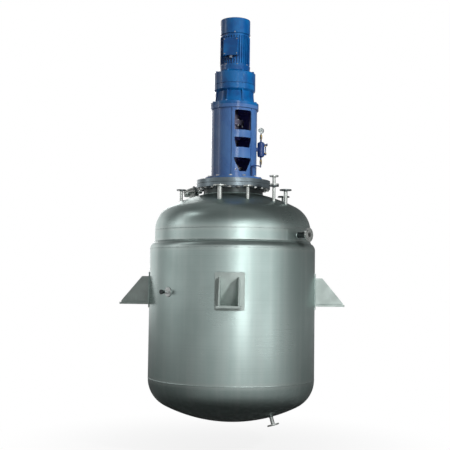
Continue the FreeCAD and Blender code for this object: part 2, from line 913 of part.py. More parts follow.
drill(cover, s.lantern_screw_radius + s.thread_gap, s.lantern_screw_circle, s.lantern_screw_count, cover_top,
      s.lantern_screw_depth + s.thread_gap)
cover_bolt = screw_shape(s.bolt_radius.value, 0, (cover_bottom + s.bolt_reach - s.neck_flange_bottom).value)
cover_bolt = cover_bolt.rotated(Vector(0, 0, 0), Vector(1, 0, 0), 180)
cover_bolt = cover_bolt.translated(Vector(0, 0, s.neck_flange_bottom.value))
fasteners("cover_bolts", ring_of(cover_bolt, s.bolt_circle.value, s.bolt_count.value), lantern_turn)


# lantern

stand_on(cover_top, "lantern_top", "upper_deck", "lower_deck", "upper_window_top", "upper_window_bottom",
         "middle_window_top", "middle_window_bottom", "lower_window_top", "lower_window_bottom", "peep_height")
lantern_base_top = cover_top + s.lantern_base_thickness
lantern_bore = s.lantern_radius - s.lantern_wall
lantern_head = s.lantern_top - s.lantern_top_thickness


def lantern_wall():
    """The rolled wall with its windows at the front and the back, and the raised edges beside them."""
    body = ring("lantern_wall", lantern_bore, s.lantern_radius, lantern_base_top, lantern_head)
    edges = new_sketch(body, "XY_Plane", lantern_base_top)
    inside = s.window_width / 2 + s.window_land
    outside = inside + s.window_edge
    proud = s.lantern_radius + s.window_edge_proud
    buried = s.lantern_radius - s.lantern_wall / 2
    for side in (1, -1):
        for end in (1, -1):
            outline(edges, [
                (inside * side, root(buried * buried - inside * inside) * end),
                (outside * side, root(buried * buried - outside * outside) * end),
                (outside * side, root(proud * proud - outside * outside) * end),
                (inside * side, root(proud * proud - inside * inside) * end),
            ])
    pad(body, edges, lantern_head - lantern_base_top)
    windows = new_sketch(body, "XZ_Plane")
    half = s.window_width / 2
    corner = s.window_edge
    shoulder = s.upper_window_top - corner / 2
    outline(windows, [
        (-half, s.upper_window_bottom), (half, s.upper_window_bottom), (half, shoulder),
        (half - corner / 2, s.upper_window_top), (-half + corner / 2, s.upper_window_top), (-half, shoulder),
    ])
    for top, bottom, foot in (
            (s.middle_window_top, s.middle_window_bottom, s.middle_window_foot / 2),
            (s.lower_window_top, s.lower_window_bottom, s.lower_window_foot / 2)):
        outline(windows, [
            (-foot, bottom), (foot, bottom), (half, top - corner), (half, top), (-half, top),
            (-half, top - corner),
        ])
    pocket(body, windows, None, both_ways=True)
    peep = new_sketch(body, "XZ_Plane", s.lantern_radius)
    circle(peep, s.peep_side, s.peep_height, s.peep_radius)
    pocket(body, peep, s.lantern_wall * 3)
    return body


def lantern_flanges():
    """The base flange with its screw holes, and the top flange with threaded ones."""
    base = ring("lantern_base", lantern_bore, s.lantern_base_radius, cover_top, lantern_base_top)
    drill(base, s.lantern_screw_radius + s.bolt_gap, s.lantern_screw_circle, s.lantern_screw_count,
          lantern_base_top)
    top = ring("lantern_top", s.lantern_top_bore, s.lantern_top_radius, lantern_head, s.lantern_top)
    drill(top, s.flange_screw_radius + s.thread_gap, s.flange_screw_circle, s.gearbox_screw_count,
          s.lantern_top, s.flange_screw_depth)
    return [base, top]


def deck(name, low):
    """A plate across the wall that carries a bearing."""
    return ring(name, s.deck_bore, lantern_bore, low, low + s.deck_thickness)


group("lantern", [lantern_wall(), *lantern_flanges(), deck("lantern_lower_deck", s.lower_deck),
                  deck("lantern_upper_deck", s.upper_deck)], lantern_turn)
fasteners("lantern_screws", ring_of(
    screw_shape(s.lantern_screw_radius.value, lantern_base_top.value,
                s.lantern_base_thickness.value + s.lantern_screw_depth.value),
    s.lantern_screw_circle.value, s.lantern_screw_count.value), lantern_turn)


# shaft line: bearings on the decks, seal on the cover, coupling, shaft and stirrers

stand_on(cover_top, "coupling_joint", "seal_top", "sleeve_bottom")
stand_on(s.lantern_top, "output_top")
shaft_hole = s.shaft_radius + s.running_gap


def bearing_housing(name, deck_bottom):
    """A flanged housing that hangs in its deck."""
    foot = deck_bottom - s.bearing_below_deck
    seat = deck_bottom + s.deck_thickness
    top = seat + s.bearing_flange_thickness
    return turned_piece(name, [
        (shaft_hole, foot), (s.deck_bore - s.bearing_flange_thickness, foot), (s.deck_bore, deck_bottom),
        (s.deck_bore, seat), (s.bearing_flange_radius, seat), (s.bearing_flange_radius, top),
        (shaft_hole, top),
    ])


group("bearing_housings", [bearing_housing("upper_bearing", s.upper_deck),
                           bearing_housing("lower_bearing", s.lower_deck)])

sleeve_hole = s.sleeve_radius + s.running_gap
seal_cap_bottom = s.seal_top - s.seal_cap_thickness
turned("seal_housing", [
    (sleeve_hole, cover_bottom), (s.cover_bore, cover_bottom), (s.cover_bore, cover_top),
    (s.seal_flange_radius, cover_top), (s.seal_flange_radius, cover_top + s.seal_flange_thickness),
    (s.seal_radius, cover_top + s.seal_flange_thickness), (s.seal_radius, seal_cap_bottom),
    (s.seal_cap_radius, seal_cap_bottom), (s.seal_cap_radius, s.seal_top), (sleeve_hole, s.seal_top),
])
sleeve_top = s.seal_top + s.running_gap + s.sleeve_collar
turned("seal_sleeve", [
    (s.shaft_radius, s.sleeve_bottom), (s.sleeve_radius, s.sleeve_bottom),
    (s.sleeve_radius, s.seal_top + s.running_gap), (s.sleeve_collar_radius, s.seal_top + s.running_gap),
    (s.sleeve_collar_radius, sleeve_top), (s.shaft_radius, sleeve_top),
])

coupling_foot = s.coupling_joint - s.coupling_plate - s.coupling_hub
collar_low = s.upper_deck + s.deck_thickness + s.bearing_flange_thickness + s.running_gap
collar_top = collar_low + s.collar_height
turned("agitator_shaft", [
    (0, s.shaft_bottom), (s.shaft_radius - s.weld_leg, s.shaft_bottom),
    (s.shaft_radius, s.shaft_bottom + s.weld_leg), (s.shaft_radius, collar_low),
    (s.collar_radius, collar_low), (s.collar_radius, collar_top), (s.shaft_radius, collar_top),
    (s.shaft_radius, s.coupling_joint), (0, s.coupling_joint),
])
turned("lower_coupling", [
    (s.shaft_radius, coupling_foot), (s.coupling_hub_radius, coupling_foot),
    (s.coupling_hub_radius, s.coupling_joint - s.coupling_plate),
    (s.coupling_radius, s.coupling_joint - s.coupling_plate), (s.coupling_radius, s.coupling_joint),
    (s.shaft_radius, s.coupling_joint),
])
turned("output_shaft", [
    (0, s.coupling_joint), (s.coupling_radius, s.coupling_joint),
    (s.coupling_radius, s.coupling_joint + s.coupling_plate),
    (s.coupling_hub_radius, s.coupling_joint + s.coupling_plate),
    (s.coupling_hub_radius, s.coupling_joint + s.coupling_plate + s.coupling_hub),
    (s.output_radius, s.coupling_joint + s.coupling_plate + s.coupling_hub),
    (s.output_radius, s.output_top), (0, s.output_top),
])


def stirrer(name, height):
    """A hub with pitched blades."""
    body = new_body(name)
    sketch = new_sketch(body, "YZ_Plane")
    rise = s.blade_width / 2 * sine(s.blade_pitch)
    run = s.blade_width / 2 * cosine(s.blade_pitch)
    thick_rise = s.blade_thickness / 2 * cosine(s.blade_pitch)
    thick_run = s.blade_thickness / 2 * sine(s.blade_pitch)
    outline(sketch, [
        (-run + thick_run, height - rise - thick_rise), (run + thick_run, height + rise - thick_rise),
        (run - thick_run, height + rise + thick_rise), (-run - thick_run, height - rise + thick_rise),
    ])
    blade = pad(body, sketch, s.stirrer_tip)
    repeat(body, [blade], s.blade_count)
    low = height - s.stirrer_hub / 2
    high = height + s.stirrer_hub / 2
    revolve(body, [(0, low), (s.stirrer_hub_radius, low), (s.stirrer_hub_radius, high), (0, high)])
    bore = new_sketch(body, "XY_Plane", high)
    circle(bore, 0, 0, s.shaft_radius)
    pocket(body, bore, s.stirrer_hub)


stirrer("lower_stirrer", s.lower_stirrer)
stirrer("upper_stirrer", s.upper_stirrer)


# gearbox

stand_on(s.lantern_top, "gearbox_waist_top", "gearbox_joint", "gear_ring_top", "gearbox_shoulder",
         "motor_seat")
stand_on(s.motor_seat, "motor_bottom", "motor_frame_top", "motor_shaft_bottom", "core_bottom", "core_top",
         "fan_bottom", "cowl_top", "terminal_bottom")
gearbox_flange_top = s.lantern_top + s.gearbox_flange_thickness
ring_screw_depth = s.gearbox_joint - s.gearbox_waist_top


def gearbox_base():
    """The flanged foot: a tapered housing with upright ribs under a ring."""
    body = new_body("gearbox_base")
    bore = s.output_radius + s.running_gap
    step = s.gearbox_ring_radius - s.gearbox_waist_radius
    revolve(body, [
        (0, s.output_top + s.weld_leg), (bore, s.output_top + s.weld_leg), (bore, s.lantern_top),
        (s.lantern_top_radius, s.lantern_top), (s.lantern_top_radius, gearbox_flange_top - s.weld_leg),
        (s.lantern_top_radius - s.weld_leg, gearbox_flange_top),
        (s.gearbox_foot_radius, gearbox_flange_top), (s.gearbox_waist_radius, s.gearbox_waist_top - step),
        (s.gearbox_ring_radius, s.gearbox_waist_top), (s.gearbox_ring_radius, s.gearbox_joint),
        (0, s.gearbox_joint),
    ])
    sketch = new_sketch(body, "XZ_Plane")
    outline(sketch, [
        (s.gearbox_waist_radius - s.weld_leg, gearbox_flange_top - s.weld_leg),
        (s.gearbox_foot_radius + s.weld_leg, gearbox_flange_top - s.weld_leg),
        (s.gearbox_waist_radius + s.gearbox_rib_thickness, s.gearbox_waist_top - step / 2),
        (s.gearbox_waist_radius - s.weld_leg, s.gearbox_waist_top - step / 2),
    ])
    rib = pad(body, sketch, s.gearbox_rib_thickness, both_ways=True)
    repeat(body, [rib], s.gearbox_rib_count)
    drill(body, s.flange_screw_radius + s.bolt_gap, s.flange_screw_circle, s.gearbox_screw_count,
          gearbox_flange_top)
    drill(body, s.gearbox_screw_radius + s.thread_gap, s.gearbox_screw_circle, s.gearbox_screw_count,
          s.gearbox_joint, ring_screw_depth)
    body.Placement = lantern_turn


gearbox_base()

groove_top = s.gearbox_joint + s.gear_ring_groove
gear_ring = turned("gear_ring", [
    (0, s.gearbox_joint), (s.gearbox_ring_radius - s.gear_ring_groove_depth, s.gearbox_joint),
    (s.gearbox_ring_radius - s.gear_ring_groove_depth, groove_top), (s.gearbox_ring_radius, groove_top),
    (s.gearbox_ring_radius, s.gear_ring_top), (0, s.gear_ring_top),
], lantern_turn)
drill(gear_ring, s.gearbox_screw_radius + s.bolt_gap, s.gearbox_screw_circle, s.gearbox_screw_count,
      s.gear_ring_top)

rotor_hole = s.motor_shaft_radius + s.running_gap
rim_top = s.gear_ring_top + s.gearbox_rim
gearbox_cover = turned("gearbox_cover", [
    (0, s.gear_ring_top), (s.gearbox_ring_radius, s.gear_ring_top),
    (s.gearbox_ring_radius, rim_top - s.weld_leg), (s.gearbox_ring_radius - s.weld_leg, rim_top),
    (s.gearbox_shoulder_radius, rim_top), (s.motor_seat_radius, s.gearbox_shoulder),
    (s.motor_seat_radius, s.motor_seat), (rotor_hole, s.motor_seat),
    (rotor_hole, s.motor_shaft_bottom - s.weld_leg), (0, s.motor_shaft_bottom - s.weld_leg),
], lantern_turn)
drill(gearbox_cover, s.gearbox_screw_radius + s.bolt_gap, s.gearbox_screw_circle, s.gearbox_screw_count,
      rim_top, s.gearbox_rim)
fasteners("gearbox_screws", ring_of(
    screw_shape(s.gearbox_screw_radius.value, rim_top.value,
                (rim_top - s.gearbox_joint + ring_screw_depth).value - s.weld_leg.value),
    s.gearbox_screw_circle.value, s.gearbox_screw_count.value) + ring_of(
    screw_shape(s.flange_screw_radius.value, gearbox_flange_top.value,
                (s.gearbox_flange_thickness + s.flange_screw_depth).value - s.weld_leg.value),
    s.flange_screw_circle.value, s.gearbox_screw_count.value), lantern_turn)


# motor

turned("motor_flange", [
    (rotor_hole, s.motor_seat), (s.motor_flange_radius, s.motor_seat),
    (s.motor_flange_radius, s.motor_seat + s.motor_flange_thickness),
    (s.motor_neck_radius, s.motor_seat + s.motor_flange_thickness),
    (s.motor_neck_radius, s.motor_bottom), (rotor_hole, s.motor_bottom),
])
end_wall_bottom = s.motor_frame_top - s.motor_end_wall
cowl_inside = s.cowl_radius - s.cowl_wall


def motor_frame():
    """The ribbed frame with its closed rear end and the posts that carry the fan cowl."""
    body = new_body("motor_frame")
    revolve(body, [
        (s.motor_bore, s.motor_bottom), (s.motor_shell_radius, s.motor_bottom),
        (s.motor_shell_radius, s.motor_frame_top), (rotor_hole, s.motor_frame_top),
        (rotor_hole, end_wall_bottom), (s.motor_bore, end_wall_bottom),
    ])
    sketch = new_sketch(body, "XY_Plane", s.motor_bottom)
    rectangle(sketch, s.motor_shell_radius - s.weld_leg, s.motor_rib_radius, -s.motor_rib_thickness / 2,
              s.motor_rib_thickness / 2)
    rib = pad(body, sketch, end_wall_bottom - s.motor_bottom - s.cowl_overlap)
    repeat(body, [rib], s.motor_rib_count)
    post = new_sketch(body, "XY_Plane", s.motor_frame_top - s.cowl_overlap)
    half = s.cowl_post_width / 2
    reach = root(cowl_inside * cowl_inside - half * half) - s.running_gap
    rectangle(post, s.motor_shell_radius - s.weld_leg, reach, -half, half)
    repeat(body, [pad(body, post, s.cowl_overlap)], s.cowl_post_count)


motor_frame()
turned("stator_core", [
    (s.rotor_radius + s.air_gap, s.core_bottom), (s.motor_bore, s.core_bottom), (s.motor_bore, s.core_top),
    (s.rotor_radius + s.air_gap, s.core_top),
])
fan_top = s.fan_bottom + s.fan_height
turned("motor_rotor", [
    (0, s.motor_shaft_bottom), (s.motor_shaft_radius, s.motor_shaft_bottom),
    (s.motor_shaft_radius, s.core_bottom), (s.rotor_radius, s.core_bottom), (s.rotor_radius, s.core_top),
    (s.motor_shaft_radius, s.core_top), (s.motor_shaft_radius, fan_top), (0, fan_top),
])


def motor_fan():
    """A back plate and radial blades on a hub."""
    body = new_body("motor_fan")
    revolve(body, [
        (s.motor_shaft_radius, s.fan_bottom), (s.fan_radius, s.fan_bottom),
        (s.fan_radius, s.fan_bottom + s.fan_plate), (s.fan_hub_radius, s.fan_bottom + s.fan_plate),
        (s.fan_hub_radius, fan_top), (s.motor_shaft_radius, fan_top),
    ])
    sketch = new_sketch(body, "XY_Plane", s.fan_bottom)
    rectangle(sketch, s.fan_hub_radius - s.fan_plate, s.fan_radius, -s.fan_blade_thickness / 2,
              s.fan_blade_thickness / 2)
    repeat(body, [pad(body, sketch, s.fan_height)], s.fan_blade_count)


motor_fan()


def fan_cowl():
    """A pressed cowl, open below, with radial slots in its top."""
    body = new_body("fan_cowl")
    low = s.motor_frame_top - s.cowl_overlap
    inside_top = s.cowl_top - s.cowl_wall
    corner = s.cowl_corner
    bend = corner * s.corner_share
    revolve(body, [
        (cowl_inside, low), (s.cowl_radius, low), (s.cowl_radius, s.cowl_top - corner),
        (s.cowl_radius - bend, s.cowl_top - bend), (s.cowl_radius - corner, s.cowl_top),
        (0, s.cowl_top), (0, inside_top), (cowl_inside - corner, inside_top),
        (cowl_inside - bend, inside_top - bend), (cowl_inside, inside_top - corner),
    ])
    sketch = new_sketch(body, "XY_Plane", s.cowl_top)
    rectangle(sketch, s.grille_slot_inner, s.grille_slot_outer, -s.grille_slot_width / 2,
              s.grille_slot_width / 2)
    slot = pocket(body, sketch, s.cowl_wall * 2)
    repeat(body, [slot], s.grille_slot_count)


fan_cowl()


def terminal_box():
    """The box on the frame, seated on the ribs, with a cable gland below and a lid in front."""
    place = spot(s.terminal_azimuth, size(0), 0)
    top = s.terminal_bottom + s.terminal_height
    face = s.terminal_reach - s.terminal_lid_thickness
    body = new_body("terminal_box")
    sketch = new_sketch(body, "XY_Plane", s.terminal_bottom)
    rectangle(sketch, s.motor_bore, face, -s.terminal_width / 2, s.terminal_width / 2)
    pad(body, sketch, s.terminal_height)
    gland = new_sketch(body, "XY_Plane", s.terminal_bottom)
    middle = (face + s.motor_rib_radius) / 2
    circle(gland, middle, 0, s.gland_radius)
    pad(body, gland, s.gland_length, reverse=True)
    entry = new_sketch(body, "XY_Plane", s.terminal_bottom - s.gland_length)
    circle(entry, middle, 0, s.gland_bore)
    pocket(body, entry, s.gland_length, reverse=True)
    saddle = new_sketch(body, "XY_Plane", top)
    circle(saddle, 0, 0, s.motor_rib_radius + s.thread_gap)
    pocket(body, saddle, s.terminal_height)
    body.Placement = place
    lid = new_body("terminal_lid")
    front = new_sketch(lid, "YZ_Plane", face)
    half = s.terminal_width / 2 + s.terminal_lid_lip
    rectangle(front, -half, half, s.terminal_bottom - s.terminal_lid_lip, top + s.terminal_lid_lip)
    slab = pad(lid, front, s.terminal_lid_thickness)
    doc.recompute()
    chamfer = lid.newObject("PartDesign::Chamfer", "lid_chamfer")
    outer = [f"Edge{number}" for number, edge in enumerate(slab.Shape.Edges, start=1)
             if edge.BoundBox.XMin > s.terminal_reach.value - 1e-3]
    chamfer.Base = (slab, outer)
    bind(chamfer, "Size", s.terminal_lid_lip)
    lid.Tip = chamfer
    lid.Placement = place


terminal_box()


# seal pot group, each piece upright in the pot's own frame with +X outward

stand_on(s.lantern_radius, "pot_distance", "pipe_distance")
stand_on(cover_top, "pot_bottom", "pipe_level")
stand_on(s.pot_bottom, "pot_top", "pot_neck_bottom", "bracket_bottom")
stand_on(s.pot_top, "pot_neck_top")
pot_place = spot(s.pot_azimuth, s.pot_distance, 0)
pot_front = Rotation(Vector(0, 0, 1), -s.pot_azimuth.value)
arm_high = s.pot_top - s.pot_arm_inset
arm_low = s.pot_bottom + s.pot_arm_inset


def seal_pot():
    """The barrier liquid pot with its two level arms, level tube and filling knob."""
    body = new_body("seal_pot")
    bend = s.pot_radius * s.dome_radius_share
    rise = s.pot_dome * s.dome_height_share
    revolve(body, [
        (0, s.pot_neck_bottom), (s.pot_neck_radius, s.pot_neck_bottom),
        (s.pot_neck_radius, s.pot_bottom - s.pot_dome), (bend, s.pot_bottom - rise),
        (s.pot_radius, s.pot_bottom), (s.pot_radius, s.pot_top),
        (bend, s.pot_top + rise), (s.pot_neck_radius, s.pot_top + s.pot_dome),
        (s.pot_neck_radius, s.pot_neck_top), (0, s.pot_neck_top),
    ])
    arms = new_sketch(body, "YZ_Plane")
    circle(arms, 0, arm_low, s.pot_arm_radius)
    circle(arms, 0, arm_high, s.pot_arm_radius)
    pad(body, arms, s.pot_arm_reach)
    knob = new_sketch(body, "YZ_Plane", s.pot_arm_reach)
    circle(knob, 0, arm_high, s.fill_knob_radius)
    pad(body, knob, s.fill_knob_length)
    level = new_sketch(body, "XY_Plane", arm_low)
    circle(level, s.level_distance, 0, s.level_radius)
    pad(body, level, arm_high - arm_low)
    body.Placement = pot_place


seal_pot()
bracket_top = s.bracket_bottom + s.bracket_height
bracket = cut(
    box(s.lantern_radius - s.bracket_height, s.pot_distance, -s.bracket_width / 2, s.bracket_width / 2,
        s.bracket_bottom, bracket_top),
    [cylinder(s.lantern_radius, s.bracket_bottom, bracket_top),
     placed_cylinder(s.pot_radius, s.bracket_height,
                     Placement(Vector(s.pot_distance.value, 0, s.bracket_bottom.value), Rotation()))])
bracket.Placement = spot(s.pot_azimuth, size(0), 0)
keep(bracket, "pot_bracket")


def cock(name, top):
    """A small cock body with a cross bore for its plug. It is square to the front."""
    low = top - s.cock_height
    middle = top - s.cock_height / 2
    body = new_body(name)
    revolve(body, [
        (0, low), (s.pot_neck_radius, low), (s.cock_radius, middle - s.cock_radius),
        (s.cock_radius, middle + s.cock_radius), (s.pot_neck_radius, top), (0, top),
    ])
    hole = new_sketch(body, "XZ_Plane")
    circle(hole, 0, middle, s.plug_radius + s.running_gap)
    pocket(body, hole, None, both_ways=True)
    body.Placement = Placement(pot_place.Base, Rotation())


def cock_lever(name, top):
    """The plug and its lever, which lies along the pipe when the cock is open."""
    middle = top - s.cock_height / 2
    body = new_body(name)
    plug = new_sketch(body, "XZ_Plane", -s.cock_radius)
    circle(plug, 0, middle, s.plug_radius)
    reach = s.cock_radius + s.running_gap
    pad(body, plug, s.cock_radius + reach + s.lever_thickness)
    arm = new_sketch(body, "XZ_Plane", reach)
    half = s.lever_width / 2
    outline(arm, [
        (-half, middle + half), (-half, middle - s.lever_length), (half, middle - s.lever_length),
        (half, middle + half),
    ])
    pad(body, arm, s.lever_thickness)
    body.Placement = Placement(pot_place.Base, Rotation())


gauge_cock_top = s.pot_neck_top + s.cock_height
cock("gauge_cock", gauge_cock_top)
cock_lever("gauge_cock_lever", gauge_cock_top)
cock("pot_drain_valve", s.pot_neck_bottom)
cock_lever("pot_drain_lever", s.pot_neck_bottom)


def gauge():
    """The gauge faces the front: a cupped case on its stem, and a needle on a pivot."""
    centre = gauge_cock_top + s.gauge_stem
    middle = Vector(pot_place.Base.x, pot_place.Base.y, centre.value)
    forward = Rotation(Vector(1, 0, 0), 90)
    back = -s.gauge_depth / 2
    front = s.gauge_depth / 2
    dial = front - s.dial_depth
    inner = s.gauge_radius - s.gauge_wall
    body = new_body("gauge_case")
    revolve(body, [
        (0, back), (s.gauge_radius - s.gauge_wall, back), (s.gauge_radius, back + s.gauge_wall),
        (s.gauge_radius, front), (inner, front), (inner, dial), (0, dial),
    ])
    stem = new_sketch(body, "XZ_Plane", s.gauge_radius - s.gauge_wall)
    circle(stem, 0, 0, s.gauge_stem_radius)
    pad(body, stem, s.gauge_stem - s.gauge_radius + s.gauge_wall)
    pin = new_sketch(body, "XY_Plane", dial)
    circle(pin, 0, 0, s.pivot_radius + s.running_gap)
    pocket(body, pin, s.dial_depth / 2)
    body.Placement = Placement(middle, forward)
    needle = new_body("gauge_needle")
    pivot = new_sketch(needle, "XY_Plane", dial - s.dial_depth / 2 + s.running_gap)
    circle(pivot, 0, 0, s.pivot_radius)
    pad(needle, pivot, s.dial_depth / 2 + s.needle_thickness * 2)
    arm = new_sketch(needle, "XY_Plane", dial + s.needle_thickness)
    half = s.needle_width / 2
    tip = s.needle_tip / 2
    outline(arm, [
        (-half, -s.needle_tail), (half, -s.needle_tail), (half, s.pivot_radius), (tip, s.needle_length),
        (-tip, s.needle_length), (-half, s.pivot_radius),
    ])
    pad(needle, arm, s.needle_thickness)
    rest = Rotation(Vector(0, 0, 1), s.needle_zero.value)
    needle.Placement = Placement(middle, forward * rest)


gauge()


def pot_pipe():
    """The bent line from the drain valve round the lantern to its base flange."""
    low = s.pot_neck_bottom - s.cock_height
    start = spot(s.pot_azimuth, s.pot_distance, low).Base
    corner = spot(s.pot_azimuth, s.pot_distance, s.pipe_level).Base
    turn = spot(s.pipe_azimuth, s.pipe_distance, s.pipe_level).Base
    end = spot(s.pipe_azimuth, s.pipe_distance, lantern_base_top).Base
    outward = (corner + turn) * 0.5
    outward = outward * ((s.pot_distance.value + s.pipe_radius.value) / math.hypot(outward.x, outward.y))
    swing = Vector(outward.x, outward.y, s.pipe_level.value)
    route = [start, corner, swing, turn, end]
    line = bent_wire(route, s.pipe_bend.value)
    profile = Part.Wire(Part.makeCircle(s.pipe_radius.value, start, Vector(0, 0, -1)))
    pipe = doc.addObject("Part::Feature", "pot_pipe_line")
    pipe.Shape = line.makePipeShell([profile], True, False)
    keep(pipe, "pot_pipe")


def bent_wire(route, bend):
    """Straight runs joined by tangent arcs."""
    edges = []
    last = route[0]
    for before, point, after in zip(route, route[1:], route[2:]):
        back = (before - point).normalize()
        ahead = (after - point).normalize()
        half = back.getAngle(ahead) / 2
        set_back = min(bend / math.tan(half), 0.45 * min((before - point).Length, (after - point).Length))
        radius = set_back * math.tan(half)
        first = point + back * set_back
        second = point + ahead * set_back
        inward = (back + ahead).normalize()
        middle = point + inward * (radius / math.sin(half) - radius)
        edges.append(Part.LineSegment(last, first).toShape())
        edges.append(Part.Arc(first, middle, second).toShape())
        last = second
    edges.append(Part.LineSegment(last, route[-1]).toShape())
    return Part.Wire(edges)


pot_pipe()


# support lugs and their pads

pad_outer = s.jacket_radius + s.lug_pad_thickness
pad_top = s.lug_pad_bottom + s.lug_pad_height
pad_half = s.lug_pad_width / 2
keep(common([
    cut(cylinder(pad_outer, s.lug_pad_bottom, pad_top),
        [cylinder(s.jacket_radius, s.lug_pad_bottom, pad_top)]),
    fuse([box(-pad_outer, pad_outer, -pad_half, pad_half, s.lug_pad_bottom, pad_top),
          box(-pad_half, pad_half, -pad_outer, pad_outer, s.lug_pad_bottom, pad_top)]),
]), "lug_pads")


def support_lug(name, azimuth):
    """A base plate and two gussets, cut to the curve of the pad."""
    body = new_body(name)
    inside = s.jacket_radius - s.lug_pad_thickness
    plate = new_sketch(body, "XY_Plane")
    rectangle(plate, inside, s.lug_reach, -s.lug_width / 2, s.lug_width / 2)
    pad(body, plate, s.lug_plate)
    side = new_sketch(body, "XZ_Plane", s.lug_span / 2 - s.lug_gusset)
    outline(side, [
        (inside, s.lug_plate), (s.lug_reach - s.lug_toe, s.lug_plate),
        (s.lug_reach - s.lug_toe, s.lug_plate + s.lug_toe), (pad_outer + s.lug_top_width, s.lug_top),
        (inside, s.lug_top),
    ])
    gusset = pad(body, side, s.lug_gusset)
    mirror(body, [gusset], "XZ_Plane")
    curve = new_sketch(body, "XY_Plane", s.lug_top)
    circle(curve, 0, 0, pad_outer)
    pocket(body, curve, s.lug_top)
    hole = new_sketch(body, "XY_Plane", s.lug_plate)
    circle(hole, s.lug_reach - s.lug_hole_inset, 0, s.lug_hole)
    pocket(body, hole, s.lug_plate)
    body.Placement = Placement(Vector(0, 0, 0), Rotation(Vector(0, 0, 1), azimuth - 90))


for turn, side_name in enumerate(("front", "right", "rear", "left")):
    support_lug(f"support_lug_{side_name}", 360 / s.lug_count.value * turn)


def export():
    """Check every object, then write one file for each sub-part."""
    doc.recompute()
    failed = [thing.Label for thing in doc.Objects if {"Invalid", "Error"} & set(thing.State)]
    if failed:
        raise RuntimeError("failed objects: " + ", ".join(failed))
    os.makedirs("parts", exist_ok=True)
    for node in nodes:
        shape = node.Shape
        if shape.isNull() or not shape.isValid():
            raise RuntimeError("bad shape: " + node.Label)
        shape.exportStep(f"parts/{node.Label}.step")
    print(len(nodes), "sub-parts")


export()
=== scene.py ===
import json
import math
import random

import bmesh
import bpy
from mathutils import Matrix, Vector


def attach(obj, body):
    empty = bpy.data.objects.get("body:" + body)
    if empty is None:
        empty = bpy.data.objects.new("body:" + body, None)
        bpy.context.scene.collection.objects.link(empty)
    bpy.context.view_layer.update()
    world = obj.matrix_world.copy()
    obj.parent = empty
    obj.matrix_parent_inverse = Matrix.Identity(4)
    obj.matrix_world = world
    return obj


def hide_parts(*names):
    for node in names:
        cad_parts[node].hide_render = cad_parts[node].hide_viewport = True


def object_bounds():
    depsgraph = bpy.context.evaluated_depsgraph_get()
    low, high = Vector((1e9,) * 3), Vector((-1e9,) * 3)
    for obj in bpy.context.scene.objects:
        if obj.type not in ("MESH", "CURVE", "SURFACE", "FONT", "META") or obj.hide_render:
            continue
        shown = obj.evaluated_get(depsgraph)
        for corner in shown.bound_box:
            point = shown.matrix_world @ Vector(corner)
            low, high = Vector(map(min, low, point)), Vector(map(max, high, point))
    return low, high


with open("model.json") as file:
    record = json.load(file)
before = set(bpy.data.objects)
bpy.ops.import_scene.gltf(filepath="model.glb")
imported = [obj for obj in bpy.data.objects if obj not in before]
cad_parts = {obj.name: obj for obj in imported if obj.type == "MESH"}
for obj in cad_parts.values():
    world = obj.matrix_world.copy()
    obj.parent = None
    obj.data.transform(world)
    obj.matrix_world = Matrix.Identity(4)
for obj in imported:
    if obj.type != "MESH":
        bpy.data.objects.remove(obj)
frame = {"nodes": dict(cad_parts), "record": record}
cad_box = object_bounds()
random.seed(7)

# sizes, in metres, as the frame has them
VESSEL_RADIUS = 0.810
VESSEL_TOP_SEAM = 0.765
CLOSURE_TOP = 0.644
JACKET_RADIUS = 0.858
JACKET_TOP = 0.573
JACKET_WALL = 0.008
CLOSURE_EDGE = 0.013
JACKET_BOTTOM = -0.748
TOP_CROWN = (-0.27184, 1.450)
BOTTOM_CROWN = (0.35396, -1.538)
PAD_RADIUS = 0.868
PAD_WIDTH = 0.286
PAD_BOTTOM = -0.030
PAD_TOP = 0.332
LUG_SPAN = 0.196
LUG_GUSSET = 0.012
LUG_PLATE = 0.020
LUG_TOP = 0.290
LUG_TOE = 0.016
LUG_REACH = 1.157
POT_AZIMUTH = 88.0
POT_DISTANCE = 0.284
GAUGE_HEIGHT = 1.828
GAUGE_FRONT = 0.013
GAUGE_WELL = 0.009
LID_AZIMUTH = -12.0
LID_FACE = 0.206
UPPER_SEAT = 1.796
LOWER_SEAT = 1.599


# places

def spot(azimuth, distance, height):
    """A point at an azimuth from the front towards +X."""
    angle = math.radians(azimuth)
    return Vector((distance * math.sin(angle), -distance * math.cos(angle), height))


def outward(azimuth):
    return spot(azimuth, 1.0, 0.0)


def crown_point(crown, azimuth, distance):
    """A point on a head's crown and the normal there."""
    centre, radius = crown
    height = centre + math.copysign(math.sqrt(radius * radius - distance * distance), radius)
    point = spot(azimuth, distance, height)
    return point, (point - Vector((0, 0, centre))).normalized()


def upright(point, normal, across=None):
    """A frame at a point whose +Z is the normal."""
    side = across or (Vector((0, 0, 1)) if abs(normal.z) < 0.9 else Vector((0, 1, 0)))
    x = side.cross(normal).normalized()
    y = normal.cross(x)
    turned = Matrix((x, y, normal)).transposed().to_4x4()
    return Matrix.Translation(point) @ turned


# node trees

